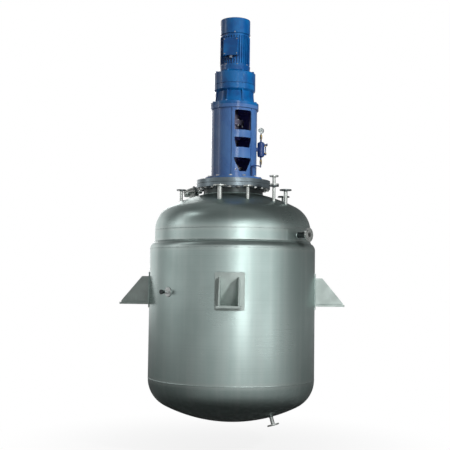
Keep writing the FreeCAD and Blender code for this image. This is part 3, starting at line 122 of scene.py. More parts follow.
class Look:
    """One material on a Principled shader, with its colour, roughness and relief built up in steps."""

    def __init__(self, name, colour, metallic, roughness, **sockets):
        self.material = bpy.data.materials.new(name)
        self.material.use_nodes = True
        self.tree = self.material.node_tree
        self.shader = self.tree.nodes["Principled BSDF"]
        self.shader.inputs["Base Color"].default_value = (*colour, 1)
        self.shader.inputs["Metallic"].default_value = metallic
        self.shader.inputs["Roughness"].default_value = roughness
        for socket, value in sockets.items():
            self.shader.inputs[socket.replace("_", " ")].default_value = value
        self.colour = None
        self.plain = colour
        self.normal = None
        self.point = self.node("ShaderNodeTexCoord").outputs["Object"]

    def node(self, kind, **settings):
        made = self.tree.nodes.new(kind)
        for key, value in settings.items():
            setattr(made, key, value)
        return made

    def feed(self, socket, value):
        """A socket takes a link or a plain value."""
        if isinstance(value, bpy.types.NodeSocket):
            self.tree.links.new(value, socket)
        else:
            socket.default_value = value

    def math(self, operation, first, second=0.0):
        made = self.node("ShaderNodeMath", operation=operation)
        self.feed(made.inputs[0], first)
        self.feed(made.inputs[1], second)
        return made.outputs[0]

    def step(self, value, low, high):
        """A smooth rise from 0 at low to 1 at high."""
        made = self.node("ShaderNodeMapRange", interpolation_type="SMOOTHSTEP")
        self.feed(made.inputs["Value"], value)
        self.feed(made.inputs["From Min"], low)
        self.feed(made.inputs["From Max"], high)
        return made.outputs[0]

    def noise(self, scale, detail=3.0, stretch=(1, 1, 1), point=None):
        mapping = self.node("ShaderNodeMapping")
        self.feed(mapping.inputs["Vector"], point or self.point)
        mapping.inputs["Scale"].default_value = stretch
        made = self.node("ShaderNodeTexNoise")
        self.feed(made.inputs["Vector"], mapping.outputs[0])
        made.inputs["Scale"].default_value = scale
        made.inputs["Detail"].default_value = detail
        return made.outputs[0]

    def part(self, axis):
        """One coordinate of the point."""
        made = self.node("ShaderNodeSeparateXYZ")
        self.feed(made.inputs[0], self.point)
        return made.outputs[axis]

    def reach(self):
        """The distance from the upright axis."""
        x = self.part("X")
        y = self.part("Y")
        squares = self.math("ADD", self.math("MULTIPLY", x, x), self.math("MULTIPLY", y, y))
        return self.math("SQRT", squares)

    def around(self):
        """A point unrolled round the upright axis: arc, radius and height."""
        turn = self.math("ARCTAN2", self.part("X"), self.part("Y"))
        made = self.node("ShaderNodeCombineXYZ")
        self.feed(made.inputs[0], turn)
        self.feed(made.inputs[1], self.reach())
        self.feed(made.inputs[2], self.part("Z"))
        return made.outputs[0]

    def tint(self, mask, colour, amount=1.0):
        """Mix a colour in where the mask is 1."""
        made = self.node("ShaderNodeMix", data_type="RGBA")
        self.feed(made.inputs[0], self.math("MULTIPLY", mask, amount))
        self.feed(made.inputs[6], self.colour or (*self.plain, 1))
        self.feed(made.inputs[7], (*colour, 1))
        self.colour = made.outputs[2]
        self.feed(self.shader.inputs["Base Color"], self.colour)

    def roughen(self, mask, low, high):
        made = self.node("ShaderNodeMapRange")
        self.feed(made.inputs["Value"], mask)
        made.inputs["To Min"].default_value = low
        made.inputs["To Max"].default_value = high
        self.feed(self.shader.inputs["Roughness"], made.outputs[0])

    def relief(self, height, distance, strength=1.0):
        made = self.node("ShaderNodeBump")
        made.inputs["Strength"].default_value = strength
        made.inputs["Distance"].default_value = distance
        self.feed(made.inputs["Height"], height)
        if self.normal:
            self.feed(made.inputs["Normal"], self.normal)
        self.normal = made.outputs[0]
        self.feed(self.shader.inputs["Normal"], self.normal)

    def soften(self, radius):
        """Round the look of sharp edges."""
        made = self.node("ShaderNodeBevel", samples=4)
        made.inputs["Radius"].default_value = radius
        self.normal = made.outputs[0]
        self.feed(self.shader.inputs["Normal"], self.normal)

    def rims(self, radius):
        """A mask that is 1 on sharp edges."""
        bevel = self.node("ShaderNodeBevel", samples=4)
        bevel.inputs["Radius"].default_value = radius
        face = self.node("ShaderNodeNewGeometry")
        dot = self.node("ShaderNodeVectorMath", operation="DOT_PRODUCT")
        self.feed(dot.inputs[0], bevel.outputs[0])
        self.feed(dot.inputs[1], face.outputs["Normal"])
        return self.step(self.math("SUBTRACT", 1.0, dot.outputs["Value"]), 0.01, 0.16)

    def band(self, height, half):
        """A mask that is 1 at a height and fades above and below it."""
        gap = self.math("ABSOLUTE", self.math("SUBTRACT", self.part("Z"), height))
        return self.math("SUBTRACT", 1.0, self.step(gap, 0.0, half))


# finishes

STEEL = (0.410, 0.505, 0.485)


def shell_steel(name, seams):
    """Ground stainless plate: fine lines run round the vessel, seams are dressed brighter, and the top
    head's crown has painted shade.
    """
    look = Look(name, STEEL, 0.90, 0.32, Anisotropic=0.35)
    tangent = look.node("ShaderNodeTangent", direction_type="RADIAL", axis="Z")
    look.feed(look.shader.inputs["Tangent"], tangent.outputs[0])
    cloud = look.step(look.noise(1.6, 4.0), 0.35, 0.68)
    look.tint(cloud, (0.345, 0.440, 0.420), 0.75)
    unrolled = look.around()
    streaks = look.step(look.noise(9.0, 5.0, (1.2, 0.0, 0.06), unrolled), 0.42, 0.75)
    look.tint(streaks, (0.520, 0.580, 0.560), 0.35)
    for height in seams:
        look.tint(look.band(height, 0.045), (0.560, 0.590, 0.570), 0.30)
    # painted shade: the crown of the top head is tinted dark above 1.04–1.12 m, for the dark room its
    # reflection shows
    look.tint(look.step(look.part("Z"), 1.04, 1.12), (0.150, 0.190, 0.175), 0.60)
    lines = look.noise(60.0, 3.0, (0.008, 0.0, 3.0), unrolled)
    dull = look.math("MULTIPLY", look.step(look.part("Z"), 1.00, 1.10), 2.2)
    lapped = look.math("ADD", look.math("MULTIPLY", cloud, 0.75), look.math("MULTIPLY", lines, 0.25))
    look.roughen(look.math("ADD", lapped, dull), 0.26, 0.38)
    look.soften(0.003)
    look.relief(look.noise(2.2, 2.0), 0.006, 0.30)
    look.tint(look.step(lines, 0.50, 0.72), (0.300, 0.380, 0.362), 0.30)
    return look.material


def turned_steel(name, colour, roughness, line_scale=500.0, zone_tone=None):
    """Machined steel with turning lines and edges worn bright.

    Its last argument gives it another colour below a height or reach, or above it where the argument's two
    limits fall; the flange neck, the side nozzle and the jacket port use this for painted shade and light."""
    look = Look(name, colour, 0.75, roughness)
    cloud = look.step(look.noise(14.0, 4.0), 0.35, 0.70)
    dark = tuple(channel * 0.72 for channel in colour)
    look.tint(cloud, dark, 0.60)
    look.tint(look.rims(0.002), tuple(min(1.0, channel * 1.45) for channel in colour), 0.55)
    if zone_tone:
        where, low, high, skin = zone_tone
        place = look.reach() if where == "reach" else look.part(where)
        look.tint(look.math("SUBTRACT", 1.0, look.step(place, low, high)), skin)
    lines = look.noise(line_scale, 2.0, (0.02, 0.02, 1.0))
    look.roughen(look.math("ADD", look.math("MULTIPLY", cloud, 0.7), look.math("MULTIPLY", lines, 0.3)),
                 roughness - 0.07, roughness + 0.10)
    look.soften(0.0012)
    look.relief(lines, 0.0003, 0.30)
    return look.material


def plate_steel(name, colour, roughness):
    """Cut and ground plate with scuffs."""
    look = Look(name, colour, 0.10, roughness)
    cloud = look.step(look.noise(9.0, 5.0), 0.36, 0.66)
    look.tint(cloud, tuple(channel * 0.80 for channel in colour), 0.70)
    scuffs = look.step(look.noise(70.0, 6.0, (1.0, 1.0, 0.12)), 0.58, 0.80)
    look.tint(scuffs, tuple(min(1.0, channel * 1.3) for channel in colour), 0.45)
    look.tint(look.rims(0.002), tuple(min(1.0, channel * 1.4) for channel in colour), 0.50)
    look.roughen(look.math("ADD", look.math("MULTIPLY", cloud, 0.6), look.math("MULTIPLY", scuffs, 0.4)),
                 roughness - 0.06, roughness + 0.12)
    look.soften(0.0015)
    look.relief(scuffs, 0.0004, 0.25)
    return look.material


def weld_steel(name):
    """A dressed weld bead with its ripples left faint."""
    look = Look(name, (0.420, 0.510, 0.490), 0.9, 0.40)
    heat = look.step(look.noise(30.0, 3.0), 0.45, 0.70)
    look.tint(heat, (0.300, 0.370, 0.350), 0.60)
    look.relief(look.noise(190.0, 2.0), 0.0012, 0.60)
    look.roughen(heat, 0.30, 0.48)
    return look.material


def enamel(name, colour, deep, roughness, dust, inside=None):
    """Sprayed enamel over casting skin: a clear gloss, thin edges and a little dust on ledges."""
    look = Look(name, colour, 0.0, roughness, Coat_Weight=0.45, Coat_Roughness=0.12,
                Specular_IOR_Level=0.22)
    cloud = look.step(look.noise(7.0, 4.0), 0.36, 0.66)
    look.tint(cloud, deep, 0.70)
    look.tint(look.step(look.noise(38.0, 5.0), 0.62, 0.80), dust, 0.12)
    normal = look.node("ShaderNodeNewGeometry")
    up = look.node("ShaderNodeSeparateXYZ")
    look.feed(up.inputs[0], normal.outputs["Normal"])
    patches = look.step(look.noise(22.0, 4.0), 0.3, 0.7)
    ledge = look.math("MULTIPLY", look.step(up.outputs["Z"], 0.6, 1.0), patches)
    look.tint(ledge, dust, 0.35)
    look.tint(look.rims(0.0025), tuple(min(1.0, channel * 1.7 + 0.03) for channel in colour), 0.55)
    # painted shade: inside the given radius the paint is replaced by another colour, for the shade inside
    # the lantern
    if inside:
        radius, inside_shade = inside
        look.tint(look.math("SUBTRACT", 1.0, look.step(look.reach(), radius, radius + 0.002)), inside_shade)
    look.roughen(look.math("ADD", look.math("MULTIPLY", cloud, 0.5), look.math("MULTIPLY", ledge, 0.5)),
                 roughness - 0.06, roughness + 0.14)
    look.soften(0.003)
    look.relief(look.noise(90.0, 3.0), 0.0006, 0.20)
    look.relief(look.noise(6.0, 2.0), 0.0030, 0.30)
    return look.material


def rubber(name):
    look = Look(name, (0.020, 0.020, 0.022), 0.0, 0.60)
    look.tint(look.step(look.noise(60.0, 4.0), 0.5, 0.8), (0.055, 0.055, 0.055), 0.6)
    look.relief(look.noise(300.0, 2.0), 0.0003, 0.4)
    return look.material


def plastic(name):
    look = Look(name, (0.030, 0.030, 0.034), 0.0, 0.45)
    look.tint(look.step(look.noise(25.0, 3.0), 0.4, 0.8), (0.060, 0.060, 0.064), 0.6)
    look.relief(look.noise(400.0, 2.0), 0.0002, 0.5)
    return look.material


def laminations(name):
    """Stacked core sheets."""
    look = Look(name, (0.160, 0.155, 0.150), 0.8, 0.50)
    wave = look.node("ShaderNodeTexWave", bands_direction="Z")
    look.feed(wave.inputs["Vector"], look.point)
    wave.inputs["Scale"].default_value = 160.0
    look.tint(wave.outputs[0], (0.060, 0.055, 0.050), 0.8)
    look.relief(wave.outputs[0], 0.0004, 0.6)
    return look.material


def lacquer(name, colour, roughness):
    look = Look(name, colour, 0.0, roughness)
    look.tint(look.step(look.noise(120.0, 3.0), 0.45, 0.75), tuple(channel * 0.6 for channel in colour), 0.6)
    look.relief(look.noise(500.0, 2.0), 0.0001, 0.3)
    return look.material


def glass(name):
    look = Look(name, (0.90, 0.95, 0.95), 0.0, 0.04, Transmission_Weight=1.0, IOR=1.45)
    look.roughen(look.noise(40.0, 3.0), 0.02, 0.10)
    return look.material


# painted shade: a near-black tone for steel that stands in shade
PAINTED_SHADE = (0.050, 0.060, 0.060)
DARK_RIM = (0.110, 0.130, 0.135)
FLANGE = (0.190, 0.235, 0.260)
PIPE = (0.520, 0.550, 0.530)
DRIVE_DUST = (0.120, 0.240, 0.380)

LOOKS = {
    "vessel_steel": shell_steel("vessel_steel", (VESSEL_TOP_SEAM, CLOSURE_TOP, JACKET_TOP, JACKET_BOTTOM)),
    "flange_steel": turned_steel("flange_steel", FLANGE, 0.34),
    # painted shade: the flange neck is near black below 1.200–1.206 m, for the shade under the main flange
    "neck_steel": turned_steel("neck_steel", FLANGE, 0.34, zone_tone=("Z", 1.200, 1.206, PAINTED_SHADE)),
    "pipe_steel": turned_steel("pipe_steel", PIPE, 0.30),
    # right_steel and vent_steel are dark above 1.154–1.160 m and 1.182–1.188 m, on their flanges
    "right_steel": turned_steel("right_steel", PIPE, 0.30, zone_tone=("Z", 1.160, 1.154, DARK_RIM)),
    "vent_steel": turned_steel("vent_steel", PIPE, 0.30, zone_tone=("Z", 1.188, 1.182, DARK_RIM)),
    # painted shade: the side nozzle's stub is near black within 0.895–0.905 m of the axis, for its shadow
    "side_steel": turned_steel("side_steel", PIPE, 0.30, zone_tone=("reach", 0.895, 0.905, PAINTED_SHADE)),
    # painted shade and light: the jacket port is near black, for its shadow, and pale within 0.905–0.915 m
    # of the axis, a painted highlight on the lit pad
    "port_steel": turned_steel("port_steel", PAINTED_SHADE, 0.30, zone_tone=("reach", 0.905, 0.915, (0.620, 0.650, 0.640))),
    "lug_steel": plate_steel("lug_steel", (0.500, 0.580, 0.550), 0.42),
    "bolt_steel": turned_steel("bolt_steel", (0.420, 0.440, 0.430), 0.32, 900.0),
    "gasket": rubber("gasket"),
    # painted shade: within 0.2268 m of the axis, inside its wall, the lantern's paint is a purple-blue, for
    # the shade in it
    "lantern_blue": enamel("lantern_blue", (0.072, 0.185, 0.440), (0.045, 0.125, 0.350), 0.26,
                           (0.300, 0.340, 0.420), (0.2268, (0.150, 0.140, 0.420))),
    "drive_blue": enamel("drive_blue", (0.001, 0.140, 0.410), (0.003, 0.045, 0.200), 0.22, DRIVE_DUST),
    "cowl_blue": enamel("cowl_blue", (0.001, 0.135, 0.390), (0.002, 0.065, 0.260), 0.18, DRIVE_DUST),
    "pot_blue": enamel("pot_blue", (0.018, 0.055, 0.200), (0.010, 0.028, 0.120), 0.26,
                       (0.180, 0.220, 0.300)),
    # painted shade: the shaft line is a dark purple-grey, for the shade inside the lantern where it shows
    "shaft_steel": turned_steel("shaft_steel", (0.110, 0.105, 0.150), 0.42, 700.0),
    "seal_steel": turned_steel("seal_steel", (0.420, 0.430, 0.450), 0.26, 700.0),
    "core_steel": laminations("core_steel"),
    "fan_plastic": plastic("fan_plastic"),
    "gauge_steel": turned_steel("gauge_steel", (0.620, 0.620, 0.620), 0.18, 900.0),
    "brass": turned_steel("brass", (0.500, 0.370, 0.150), 0.30, 700.0),
    "needle_black": lacquer("needle_black", (0.015, 0.015, 0.015), 0.40),
    "lever_red": lacquer("lever_dark", (0.040, 0.050, 0.090), 0.38),
}
WELD = weld_steel("weld_bead")
GLASS = glass("clear_glass")
DIAL = lacquer("dial_white", (0.800, 0.800, 0.780), 0.50)

# nodes whose finish differs from that of their slot
OWN_LOOK = {"handhole_neck": "pipe_steel", "handhole_cover": "pipe_steel", "side_nozzle": "side_steel",
            "neck_flange": "neck_steel", "jacket_port": "port_steel", "vapour_nozzle": "right_steel",
            "return_nozzle": "right_steel", "vent_nozzle": "vent_steel", "probe_nozzle": "vent_steel"}

for part in frame["record"]["subparts"]:
    for material_slot in frame["nodes"][part["node"]].material_slots:
        material_slot.material = LOOKS[OWN_LOOK.get(part["node"], part["material_slot"])]


# meshes

def mesh_piece(name, shape, body, look, smooth=40.0):
    """A finished piece from a bmesh in the row frame."""
    bmesh.ops.recalc_face_normals(shape, faces=shape.faces)
    mesh = bpy.data.meshes.new(name)
    shape.to_mesh(mesh)
    shape.free()
    mesh.materials.append(look)
    mesh.shade_smooth()
    mesh.set_sharp_from_angle(angle=math.radians(smooth))
    thing = bpy.data.objects.new(name, mesh)
    bpy.context.scene.collection.objects.link(thing)
    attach(thing, body)
    return thing


def ring_faces(shape, rings, closed):
    """Join rings of vertices, each as long as the next."""
    pairs = zip(rings, rings[1:] + rings[:1]) if closed else zip(rings, rings[1:])
    for low, high in pairs:
        for index in range(len(low)):
            after = (index + 1) % len(low)
            shape.faces.new((low[index], low[after], high[after], high[index]))


def bead(shape, path, half_width, height, sides=8, waver=0.12):
    """A weld bead along a closed path of points and surface normals."""
    rings = []
    count = len(path)
    for index, (point, normal) in enumerate(path):
        ahead = path[(index + 1) % count][0] - path[index - 1][0]
        side = ahead.cross(normal).normalized()
        swell = 1.0 + random.uniform(-waver, waver)
        ring = []
        for step in range(sides):
            angle = 2 * math.pi * step / sides
            offset = side * math.cos(angle) * half_width + normal * math.sin(angle) * height
            ring.append(shape.verts.new(point + offset * swell))
        rings.append(ring)
    ring_faces(shape, rings, True)


def open_bead(shape, path, half_width, height, sides=8, waver=0.12):
    """A weld bead along an open path, closed at both ends."""
    rings = []
    for index, (point, normal) in enumerate(path):
        before = path[max(index - 1, 0)][0]
        after = path[min(index + 1, len(path) - 1)][0]
        side = (after - before).cross(normal).normalized()
        swell = 1.0 + random.uniform(-waver, waver)
        if index in (0, len(path) - 1):
            swell = 0.45
        rings.append([shape.verts.new(point + (
            side * math.cos(2 * math.pi * step / sides) * half_width
            + normal * math.sin(2 * math.pi * step / sides) * height) * swell) for step in range(sides)])
    ring_faces(shape, rings, False)
    shape.faces.new(rings[0])
    shape.faces.new(list(reversed(rings[-1])))


def lathe(shape, profile, place, segments=32):
    """A closed profile of radius and height turned about the place's +Z."""
    rings = []
    for turn in range(segments):
        angle = 2 * math.pi * turn / segments
        spin = Vector((math.cos(angle), math.sin(angle), 0))
        rings.append([shape.verts.new(place @ (spin * radius + Vector((0, 0, height))))
                      for radius, height in profile])
    ring_faces(shape, rings, True)
    bmesh.ops.remove_doubles(shape, verts=shape.verts, dist=1e-6)


def hexagon_head(shape, place, flats, height):
    """A hexagon head with a domed crown on a washer."""
    corner = flats / math.sqrt(3)
    washer = flats * 0.62
    lathe(shape, [(1e-5, 0), (washer, 0), (washer, height * 0.16), (washer * 0.95, height * 0.22),
                  (1e-5, height * 0.22)], place, 20)
    levels = [(corner, 0.20), (corner, 0.90), (corner * 0.86, 1.0)]
    rings = []
    for radius, level in levels:
        rings.append([shape.verts.new(place @ Vector((
            radius * math.cos(math.pi / 3 * side), radius * math.sin(math.pi / 3 * side), height * level)))
            for side in range(6)])
    ring_faces(shape, rings, False)
    shape.faces.new(rings[-1])
    shape.faces.new(list(reversed(rings[0])))


def nut(shape, centre, corner, levels):
    """An upright hexagon nut, from its heights and its share of the corner radius at each."""
    rings = []
    for height, share in levels:
        rings.append([shape.verts.new(centre + Vector((
            corner * share * math.cos(math.pi / 3 * side), corner * share * math.sin(math.pi / 3 * side),
            height))) for side in range(6)])
    ring_faces(shape, rings, False)
    shape.faces.new(rings[0])
    shape.faces.new(rings[-1])


def socket_head(shape, place, radius, height):
    """A round head with a hexagon socket."""
    well = radius * 0.55
    lathe(shape, [(1e-5, 0), (radius, 0), (radius, height * 0.85), (radius * 0.88, height), (well, height),
                  (well, height * 0.45), (1e-5, height * 0.45)], place, 18)


def ring_places(circle, height, count, start=0.0, down=False):
    """Places on a circle about the upright axis."""
    for turn in range(count):
        angle = math.radians(start + 360.0 * turn / count)
        point = Vector((circle * math.cos(angle), circle * math.sin(angle), height))
        yield upright(point, Vector((0, 0, -1 if down else 1)))


# weld seams

def circle_path(radius, height, normal_lift=0.0, count=180):
    path = []
    for turn in range(count):
        radial = outward(360.0 * turn / count)
        normal = (radial + Vector((0, 0, normal_lift))).normalized()
        path.append((radial * radius + Vector((0, 0, height)), normal))
    return path


def collar_path(place, radius, count=24, lean=1.0):
    """The foot of a pipe whose own +Z leaves the surface."""
    path = []
    for turn in range(count):
        angle = 2 * math.pi * turn / count
        radial = place.to_3x3() @ Vector((math.cos(angle), math.sin(angle), 0))
        normal = (radial + place.to_3x3() @ Vector((0, 0, lean))).normalized()
        path.append((place @ Vector((radius * math.cos(angle), radius * math.sin(angle), 0)), normal))
    return path


def foot_path(azimuth, distance, radius, count=24):
    """The foot of an upright pipe on the top head."""
    centre = spot(azimuth, distance, 0)
    path = []
    for turn in range(count):
        angle = 2 * math.pi * turn / count
        radial = Vector((math.cos(angle), math.sin(angle), 0))
        flat = centre + radial * radius
        height = TOP_CROWN[0] + math.sqrt(TOP_CROWN[1] ** 2 - flat.length ** 2)
        path.append((Vector((flat.x, flat.y, height)), (radial + Vector((0, 0, 1))).normalized()))
    return path


def saddle_path(azimuth, height, radius, shell, count=24):
    """The foot of a level pipe on an upright shell."""
    path = []
    for turn in range(count):
        angle = 2 * math.pi * turn / count
        arc = math.degrees(math.asin(radius * math.cos(angle) / shell))
        point = spot(azimuth + arc, shell, height + radius * math.sin(angle))
        out = (outward(azimuth + 90) * math.cos(angle) + Vector((0, 0, math.sin(angle)))).normalized()
        path.append((point, (outward(azimuth) + out).normalized()))
    return path


seams = bmesh.new()
bead(seams, circle_path(VESSEL_RADIUS, VESSEL_TOP_SEAM), 0.0045, 0.0009)
bead(seams, circle_path(VESSEL_RADIUS, CLOSURE_TOP + 0.002, 1.0), 0.007, 0.006)
bead(seams, circle_path(JACKET_RADIUS, JACKET_TOP), 0.0045, 0.0006)
bead(seams, circle_path(JACKET_RADIUS, JACKET_BOTTOM), 0.0060, 0.0010)
for azimuth, radius, low, high in ((163.0, JACKET_RADIUS, JACKET_BOTTOM, JACKET_TOP),
                                   (-118.0, VESSEL_RADIUS, CLOSURE_TOP, VESSEL_TOP_SEAM)):
    steps = max(4, int((high - low) / 0.03))
    open_bead(seams, [(spot(azimuth, radius, low + (high - low) * step / steps), outward(azimuth))
                      for step in range(steps + 1)], 0.006, 0.0018)
mesh_piece("shell_seams", seams, "vessel", WELD)


def closure_shoulder():
    """The jacket's closing ring, rolled to a round shoulder that runs on from the jacket's wall."""
    rise = CLOSURE_TOP - JACKET_TOP
    step = JACKET_RADIUS - VESSEL_RADIUS
    bend = (step * step + rise * rise) / (2 * step)
    last = math.asin(rise / bend)
    profile = []
    for turn in range(13):
        angle = last * turn / 12
        profile.append((JACKET_RADIUS - bend + bend * math.cos(angle), JACKET_TOP + bend * math.sin(angle)))
    profile += [(VESSEL_RADIUS, CLOSURE_TOP - CLOSURE_EDGE), (JACKET_RADIUS - JACKET_WALL, JACKET_TOP)]
    shape = bmesh.new()
    lathe(shape, profile, Matrix.Identity(4), 256)
    shoulder = mesh_piece("closure_shoulder", shape, "vessel", LOOKS["vessel_steel"])
    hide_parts("jacket_closure")


closure_shoulder()

collars = bmesh.new()
neck_height = TOP_CROWN[0] + math.sqrt(TOP_CROWN[1] ** 2 - 0.310 ** 2)
bead(collars, circle_path(0.310, neck_height, 1.0, 96), 0.008, 0.008)
for azimuth, distance, radius in ((-12.0, 0.571, 0.0225), (16.4, 0.560, 0.016), (44.0, 0.600, 0.016),
                                  (57.0, 0.640, 0.019), (120.0, 0.618, 0.0225), (-88.5, 0.545, 0.016)):
    bead(collars, foot_path(azimuth, distance, radius), 0.005, 0.005, 6)
hand_point, hand_normal = crown_point(TOP_CROWN, -118.4, 0.467)
bead(collars, collar_path(upright(hand_point, hand_normal), 0.054, 40), 0.006, 0.006)
bead(collars, saddle_path(54.5, 0.713, 0.0285, VESSEL_RADIUS), 0.006, 0.006, 6)
bead(collars, saddle_path(-45.0, 0.135, 0.046, JACKET_RADIUS, 32), 0.004, 0.004, 6)
drain_point, drain_normal = crown_point(BOTTOM_CROWN, 53.5, 0.515)
bead(collars, collar_path(upright(drain_point, drain_normal), 0.019), 0.005, 0.005, 6)
mesh_piece("nozzle_welds", collars, "vessel", WELD)


def pad_path(azimuth):
    """Round the edge of a lug pad on the jacket, with rounded corners."""
    half = PAD_WIDTH / 2
    corner = 0.004
    points = []
    middle = (PAD_TOP + PAD_BOTTOM) / 2
    rise = (PAD_TOP - PAD_BOTTOM) / 2
    for sx, sz in ((1, 1), (-1, 1), (-1, -1), (1, -1)):
        points.append((half * sx, middle + rise * sz))
    path = []
    for (x0, z0), (x1, z1) in zip(points, points[1:] + points[:1]):
        steps = 14
        for step in range(1, steps):
            share = step / steps
            across = x0 + (x1 - x0) * share
            height = z0 + (z1 - z0) * share
            arc = math.degrees(math.asin(across / PAD_RADIUS))
            out = outward(azimuth + arc)
            path.append((out * (JACKET_RADIUS + corner) + Vector((0, 0, height)), out))
    return path


lug_welds = bmesh.new()
for azimuth in (0.0, 90.0, 180.0, 270.0):
    bead(lug_welds, pad_path(azimuth), 0.0035, 0.0045, 6)
    across_way = outward(azimuth + 90)
    for side in (1, -1):
        for face in (LUG_SPAN / 2, LUG_SPAN / 2 - LUG_GUSSET):
            across = face * side
            depth = math.sqrt(PAD_RADIUS ** 2 - across ** 2)
            lean = across_way * (side if face > LUG_SPAN / 2 - LUG_GUSSET / 2 else -side)
            up_path = []
            for step in range(10):
                height = LUG_PLATE + (LUG_TOP - LUG_PLATE) * step / 9
                point = outward(azimuth) * depth + across_way * across + Vector((0, 0, height))
                up_path.append((point, (lean + outward(azimuth)).normalized()))
            open_bead(lug_welds, up_path, 0.0035, 0.0035, 6)
            out_path = []
            for step in range(10):
                distance = depth + (LUG_REACH - LUG_TOE - depth) * step / 9
                point = outward(azimuth) * distance + across_way * across + Vector((0, 0, LUG_PLATE))
                out_path.append((point, (lean + Vector((0, 0, 1))).normalized()))
            open_bead(lug_welds, out_path, 0.0035, 0.0035, 6)
mesh_piece("lug_welds", lug_welds, "vessel", WELD)


# screws on the shaft line's housings

housing_screws = bmesh.new()
for seat in (UPPER_SEAT, LOWER_SEAT):
    for place in ring_places(0.109, seat, 6, 25.0):
        hexagon_head(housing_screws, place, 0.016, 0.008)
for place in ring_places(0.110, 1.315, 6, 10.0):
    hexagon_head(housing_screws, place, 0.018, 0.009)
for place in ring_places(0.090, 1.432, 6, 30.0):
    socket_head(housing_screws, place, 0.006, 0.006)
mesh_piece("housing_screws", housing_screws, "vessel", LOOKS["bolt_steel"])

coupling_bolts = bmesh.new()
for place in ring_places(0.085, 1.931, 6):
    hexagon_head(coupling_bolts, place, 0.019, 0.011)
for place in ring_places(0.085, 1.879, 6, down=True):
    hexagon_head(coupling_bolts, place, 0.019, 0.013)
mesh_piece("coupling_bolts", coupling_bolts, "agitator", LOOKS["bolt_steel"])

motor_screws = bmesh.new()
for place in ring_places(0.1532, 2.506, 8, 22.5 - 12.0):
    hexagon_head(motor_screws, place, 0.013, 0.008)
mesh_piece("motor_screws", motor_screws, "vessel", LOOKS["bolt_steel"])

cowl_screws = bmesh.new()
for turn in range(4):
    azimuth = 90.0 * turn
    place = upright(spot(azimuth, 0.1570, 2.849), outward(azimuth))
    dome = [(1e-5, 0), (0.0065, 0), (0.0055, 0.0022), (0.0030, 0.0032), (1e-5, 0.0034)]
    lathe(cowl_screws, dome, place, 16)
mesh_piece("cowl_screws", cowl_screws, "vessel", LOOKS["bolt_steel"])

lid_screws = bmesh.new()
lid_out = outward(LID_AZIMUTH)
lid_across = outward(LID_AZIMUTH + 90.0)
for side in (1, -1):
    for height in (2.606, 2.758):
        point = lid_out * LID_FACE + lid_across * 0.066 * side + Vector((0, 0, height))
        socket_head(lid_screws, upright(point, lid_out), 0.0060, 0.0050)
mesh_piece("lid_screws", lid_screws, "vessel", LOOKS["bolt_steel"])

gland_nut = bmesh.new()
gland_point = lid_out * ((0.194 + 0.157) / 2)
for level, flats, height in ((2.5935, 0.038, -0.010), (2.5780, 0.034, -0.010)):
    nut(gland_nut, gland_point, flats / math.sqrt(3), [
        (level + height * lift, share)
        for lift, share in ((0.0, 0.93), (0.12, 1.0), (0.88, 1.0), (1.0, 0.93))])
mesh_piece("gland_nuts", gland_nut, "vessel", LOOKS["bolt_steel"])


# gauge face

gauge_centre = spot(POT_AZIMUTH, POT_DISTANCE, GAUGE_HEIGHT)
face_depth = GAUGE_FRONT - GAUGE_WELL
gauge_place = Matrix.Translation(gauge_centre) @ Matrix.Rotation(math.radians(90), 4, "X")

dial = bmesh.new()
lathe(dial, [(0.0035, face_depth + 0.0001), (0.0275, face_depth + 0.0001), (0.0275, face_depth + 0.0007),
             (0.0035, face_depth + 0.0007)], gauge_place, 40)
mesh_piece("gauge_dial", dial, "vessel", DIAL)

ticks = bmesh.new()
for step in range(31):
    angle = math.radians(225 - 9 * step)
    way = Vector((math.cos(angle), math.sin(angle), 0))
    side = Vector((-way.y, way.x, 0))
    long_tick = step % 5 == 0
    inner = 0.0205 if long_tick else 0.0230
    half = 0.0007 if long_tick else 0.0003
    low = face_depth + 0.0005
    high = face_depth + 0.0009
    corners = [way * inner - side * half, way * 0.0255 - side * half, way * 0.0255 + side * half,
               way * inner + side * half]
    bottom = [ticks.verts.new(gauge_place @ (corner + Vector((0, 0, low)))) for corner in corners]
    top = [ticks.verts.new(gauge_place @ (corner + Vector((0, 0, high)))) for corner in corners]
    ring_faces(ticks, [bottom, top], False)
    ticks.faces.new(top)
    ticks.faces.new(list(reversed(bottom)))
mesh_piece("gauge_ticks", ticks, "vessel", LOOKS["needle_black"])

window = bmesh.new()
lathe(window, [(1e-5, 0.0108), (0.0278, 0.0108), (0.0278, 0.0122), (1e-5, 0.0126)], gauge_place, 40)
mesh_piece("gauge_glass", window, "vessel", GLASS)

bezel = bmesh.new()
lathe(bezel, [(0.0275, 0.0100), (0.0309, 0.0100), (0.0309, 0.0125), (0.0300, 0.0130), (0.0283, 0.0130),
              (0.0275, 0.0118)], gauge_place, 48)
mesh_piece("gauge_bezel", bezel, "vessel", LOOKS["gauge_steel"])


# fittings of the seal pot

level_tube = bmesh.new()
level_point = spot(POT_AZIMUTH, POT_DISTANCE + 0.048, 0)
lathe(level_tube, [(0.0062, 1.596), (0.0075, 1.596), (0.0075, 1.664), (0.0062, 1.664)],
      Matrix.Translation(level_point), 20)
mesh_piece("level_glass", level_tube, "vessel", GLASS)

level_nuts = bmesh.new()
for low in (1.586, 1.662):
    nut(level_nuts, level_point, 0.0115, [
        (low + lift, share) for lift, share in ((0.0, 0.92), (0.0015, 1.0), (0.0105, 1.0), (0.012, 0.92))])
mesh_piece("level_nuts", level_nuts, "vessel", LOOKS["brass"])


# camera

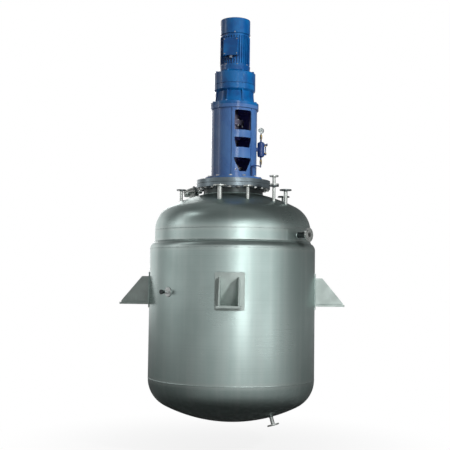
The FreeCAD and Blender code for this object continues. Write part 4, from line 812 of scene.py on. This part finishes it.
def place_camera():
    """A long lens low in front, tilted up a little, as the photograph was taken."""
    lens = bpy.data.cameras.new("camera")
    lens.lens = 72.0
    lens.sensor_width = 36.0
    lens.clip_end = 200.0
    camera = bpy.data.objects.new("camera", lens)
    bpy.context.scene.collection.objects.link(camera)
    bearing = math.radians(1.5)
    distance = 9.4
    where = Matrix.Translation((distance * math.sin(bearing), -distance * math.cos(bearing), 0.243))
    turn = Matrix.Rotation(math.radians(1.5 + 0.50), 4, "Z")
    tilt = Matrix.Rotation(math.radians(90.0 + 3.6), 4, "X")
    roll = Matrix.Rotation(math.radians(0.785), 4, "Z")
    camera.matrix_world = where @ turn @ tilt @ roll
    bpy.context.scene.camera = camera


place_camera()


# studio

def area_light(name, where, aim, size, power, mirrored=True, lights=True):
    """A soft lamp. It may be one that lights and isn't mirrored, or one that only reflections show."""
    lamp = bpy.data.lights.new(name, "AREA")
    lamp.shape = "RECTANGLE"
    lamp.size, lamp.size_y = size
    lamp.energy = power
    holder = bpy.data.objects.new(name, lamp)
    holder.matrix_world = Matrix.Translation(where) @ (
        Vector(aim) - Vector(where)).to_track_quat("-Z", "Y").to_matrix().to_4x4()
    holder.visible_camera = False
    holder.visible_glossy = mirrored
    holder.visible_diffuse = lights
    bpy.context.scene.collection.objects.link(holder)


def round_about(azimuth, distance, height):
    return tuple(spot(azimuth, distance, height))


area_light("key", round_about(46.0, 7.0, 4.0), (0.0, 0.0, 0.6), (0.8, 0.8), 440.0, mirrored=False)
area_light("front", round_about(15.0, 7.0, 1.1), (0.0, 0.0, 0.7), (1.5, 3.2), 60.0, lights=False)
area_light("upper", round_about(20.0, 6.0, 2.9), (0.0, 0.0, 2.5), (1.2, 1.0), 18.0)
area_light("right", round_about(48.0, 6.0, 1.2), (0.0, 0.0, 1.0), (1.2, 4.0), 12.0)
area_light("left", round_about(-78.0, 5.0, 3.1), (0.0, 0.0, 2.3), (0.60, 2.8), 10.0)
area_light("rear", round_about(-168.0, 7.0, 2.6), (0.0, 0.0, 1.0), (2.5, 4.5), 150.0)
area_light("top", (-5.6, -1.6, 6.4), (0.0, 0.0, 1.0), (1.2, 1.2), 20.0)


def ramp(tree, value, stops):
    """A grey level for a value, with smooth steps between stops of position and level."""
    made = tree.nodes.new("ShaderNodeValToRGB")
    made.color_ramp.interpolation = "EASE"
    keys = made.color_ramp.elements
    while len(keys) < len(stops):
        keys.new(0.5)
    for key, (position, level) in zip(keys, stops):
        key.position = position
        key.color = (level, level, level, 1)
    tree.links.new(value, made.inputs[0])
    return made.outputs[0]


def background():
    """White for the camera. Reflections see levels round the horizon, and a darker room above and below."""
    world = bpy.data.worlds.new("studio")
    world.use_nodes = True
    bpy.context.scene.world = world
    tree = world.node_tree
    tree.nodes.clear()

    def sum_of(operation, first, second):
        made = tree.nodes.new("ShaderNodeMath")
        made.operation = operation
        for socket, value in zip(made.inputs, (first, second)):
            if isinstance(value, bpy.types.NodeSocket):
                tree.links.new(value, socket)
            else:
                socket.default_value = value
        return made.outputs[0]

    rays = tree.nodes.new("ShaderNodeLightPath")
    way = tree.nodes.new("ShaderNodeSeparateXYZ")
    tree.links.new(tree.nodes.new("ShaderNodeTexCoord").outputs["Generated"], way.inputs[0])
    x, y, z = way.outputs
    turn = sum_of("ARCTAN2", x, sum_of("MULTIPLY", y, -1.0))
    around = ramp(tree, sum_of("ADD", sum_of("DIVIDE", turn, 2 * math.pi), 0.5), ROUND)
    above = ramp(tree, sum_of("ADD", sum_of("MULTIPLY", z, 0.5), 0.5), RISE)
    mirrored = sum_of("MULTIPLY", sum_of("MULTIPLY", around, above), HORIZON)
    seen = sum_of("MAXIMUM", rays.outputs["Is Camera Ray"], rays.outputs["Is Transmission Ray"])
    level = sum_of("MAXIMUM", seen, sum_of("MULTIPLY", rays.outputs["Is Glossy Ray"], mirrored))
    traced = sum_of("MAXIMUM", seen, rays.outputs["Is Glossy Ray"])
    plain = sum_of("MULTIPLY", sum_of("SUBTRACT", 1.0, traced), AMBIENT)
    lit = tree.nodes.new("ShaderNodeBackground")
    lit.inputs["Color"].default_value = (1, 1, 1, 1)
    tree.links.new(sum_of("ADD", level, plain), lit.inputs["Strength"])
    out = tree.nodes.new("ShaderNodeOutputWorld")
    tree.links.new(lit.outputs[0], out.inputs["Surface"])


HORIZON = 1.3
AMBIENT = 0.13
# levels round the horizon, from behind by the left, the front and the right to behind again
ROUND = ((0.0, 0.40), (0.06, 1.0), (0.125, 0.95), (0.19, 0.30), (0.24, 0.90), (0.285, 0.88), (0.335, 0.50),
         (0.42, 0.42), (0.52, 0.78), (0.60, 0.90), (0.655, 0.95), (0.70, 0.38), (0.745, 0.10), (1.0, 0.12))
# levels from straight down to straight up
RISE = ((0.0, 0.10), (0.44, 0.85), (0.52, 1.0), (0.60, 0.95), (0.72, 0.42), (0.86, 0.16), (1.0, 0.25))
background()


def floor():
    """A floor that the camera sees white with the object's faint shadow. Reflections see it with painted
    shade near the object and a painted pool of light in front of it, a little to the right.
    """
    drop = cad_box[0][2] - 0.25
    shape = bmesh.new()
    bmesh.ops.create_circle(shape, cap_ends=True, radius=60.0, segments=96)
    mesh = bpy.data.meshes.new("floor")
    shape.to_mesh(mesh)
    shape.free()
    thing = bpy.data.objects.new("floor", mesh)
    thing.location.z = drop
    bpy.context.scene.collection.objects.link(thing)
    look = Look("floor_white", (0.45, 0.45, 0.45), 0.0, 0.7)
    rays = look.node("ShaderNodeLightPath")
    clear = look.math("ADD", 0.86, look.math("MULTIPLY", look.step(look.reach(), 0.4, 2.6), 0.14))
    shown = look.math("MULTIPLY", rays.outputs["Is Camera Ray"], clear)
    mirrored = rays.outputs["Is Glossy Ray"]
    # painted light for reflections: a pool that is brighter in front of the object, a little to the right
    ahead = look.math("DIVIDE", look.math("SUBTRACT", look.math("MULTIPLY", look.part("X"), 0.34),
                                          look.math("MULTIPLY", look.part("Y"), 0.94)), look.reach())
    lean = look.math("POWER", look.math("MAXIMUM", ahead, 0.0), 1.5)
    lean = look.math("ADD", 0.15, look.math("MULTIPLY", lean, 0.85))
    # painted shade for reflections: the floor is dark close to the object and brightens further out
    near = look.math("MULTIPLY", look.step(look.reach(), 0.85, 1.9), 0.40)
    beyond = look.math("MULTIPLY", look.step(look.reach(), 2.5, 14.0), 0.75)
    distant = look.math("MULTIPLY", look.math("ADD", near, beyond), lean)
    distant = look.math("MAXIMUM", look.math("MULTIPLY", look.step(look.reach(), 10.0, 45.0), 0.75), distant)
    distant = look.math("ADD", 0.02, distant)
    share = look.math("MAXIMUM", rays.outputs["Is Transmission Ray"], look.math("MAXIMUM", shown, mirrored))
    glow = look.node("ShaderNodeEmission")
    look.feed(glow.inputs["Strength"], look.math("MAXIMUM", look.math("SUBTRACT", 1.0, mirrored), distant))
    mix = look.node("ShaderNodeMixShader")
    look.feed(mix.inputs[0], share)
    look.feed(mix.inputs[1], look.shader.outputs[0])
    look.feed(mix.inputs[2], glow.outputs[0])
    look.feed(look.tree.nodes["Material Output"].inputs["Surface"], mix.outputs[0])
    mesh.materials.append(look.material)


floor()

bpy.context.scene.view_settings.view_transform = "Standard"
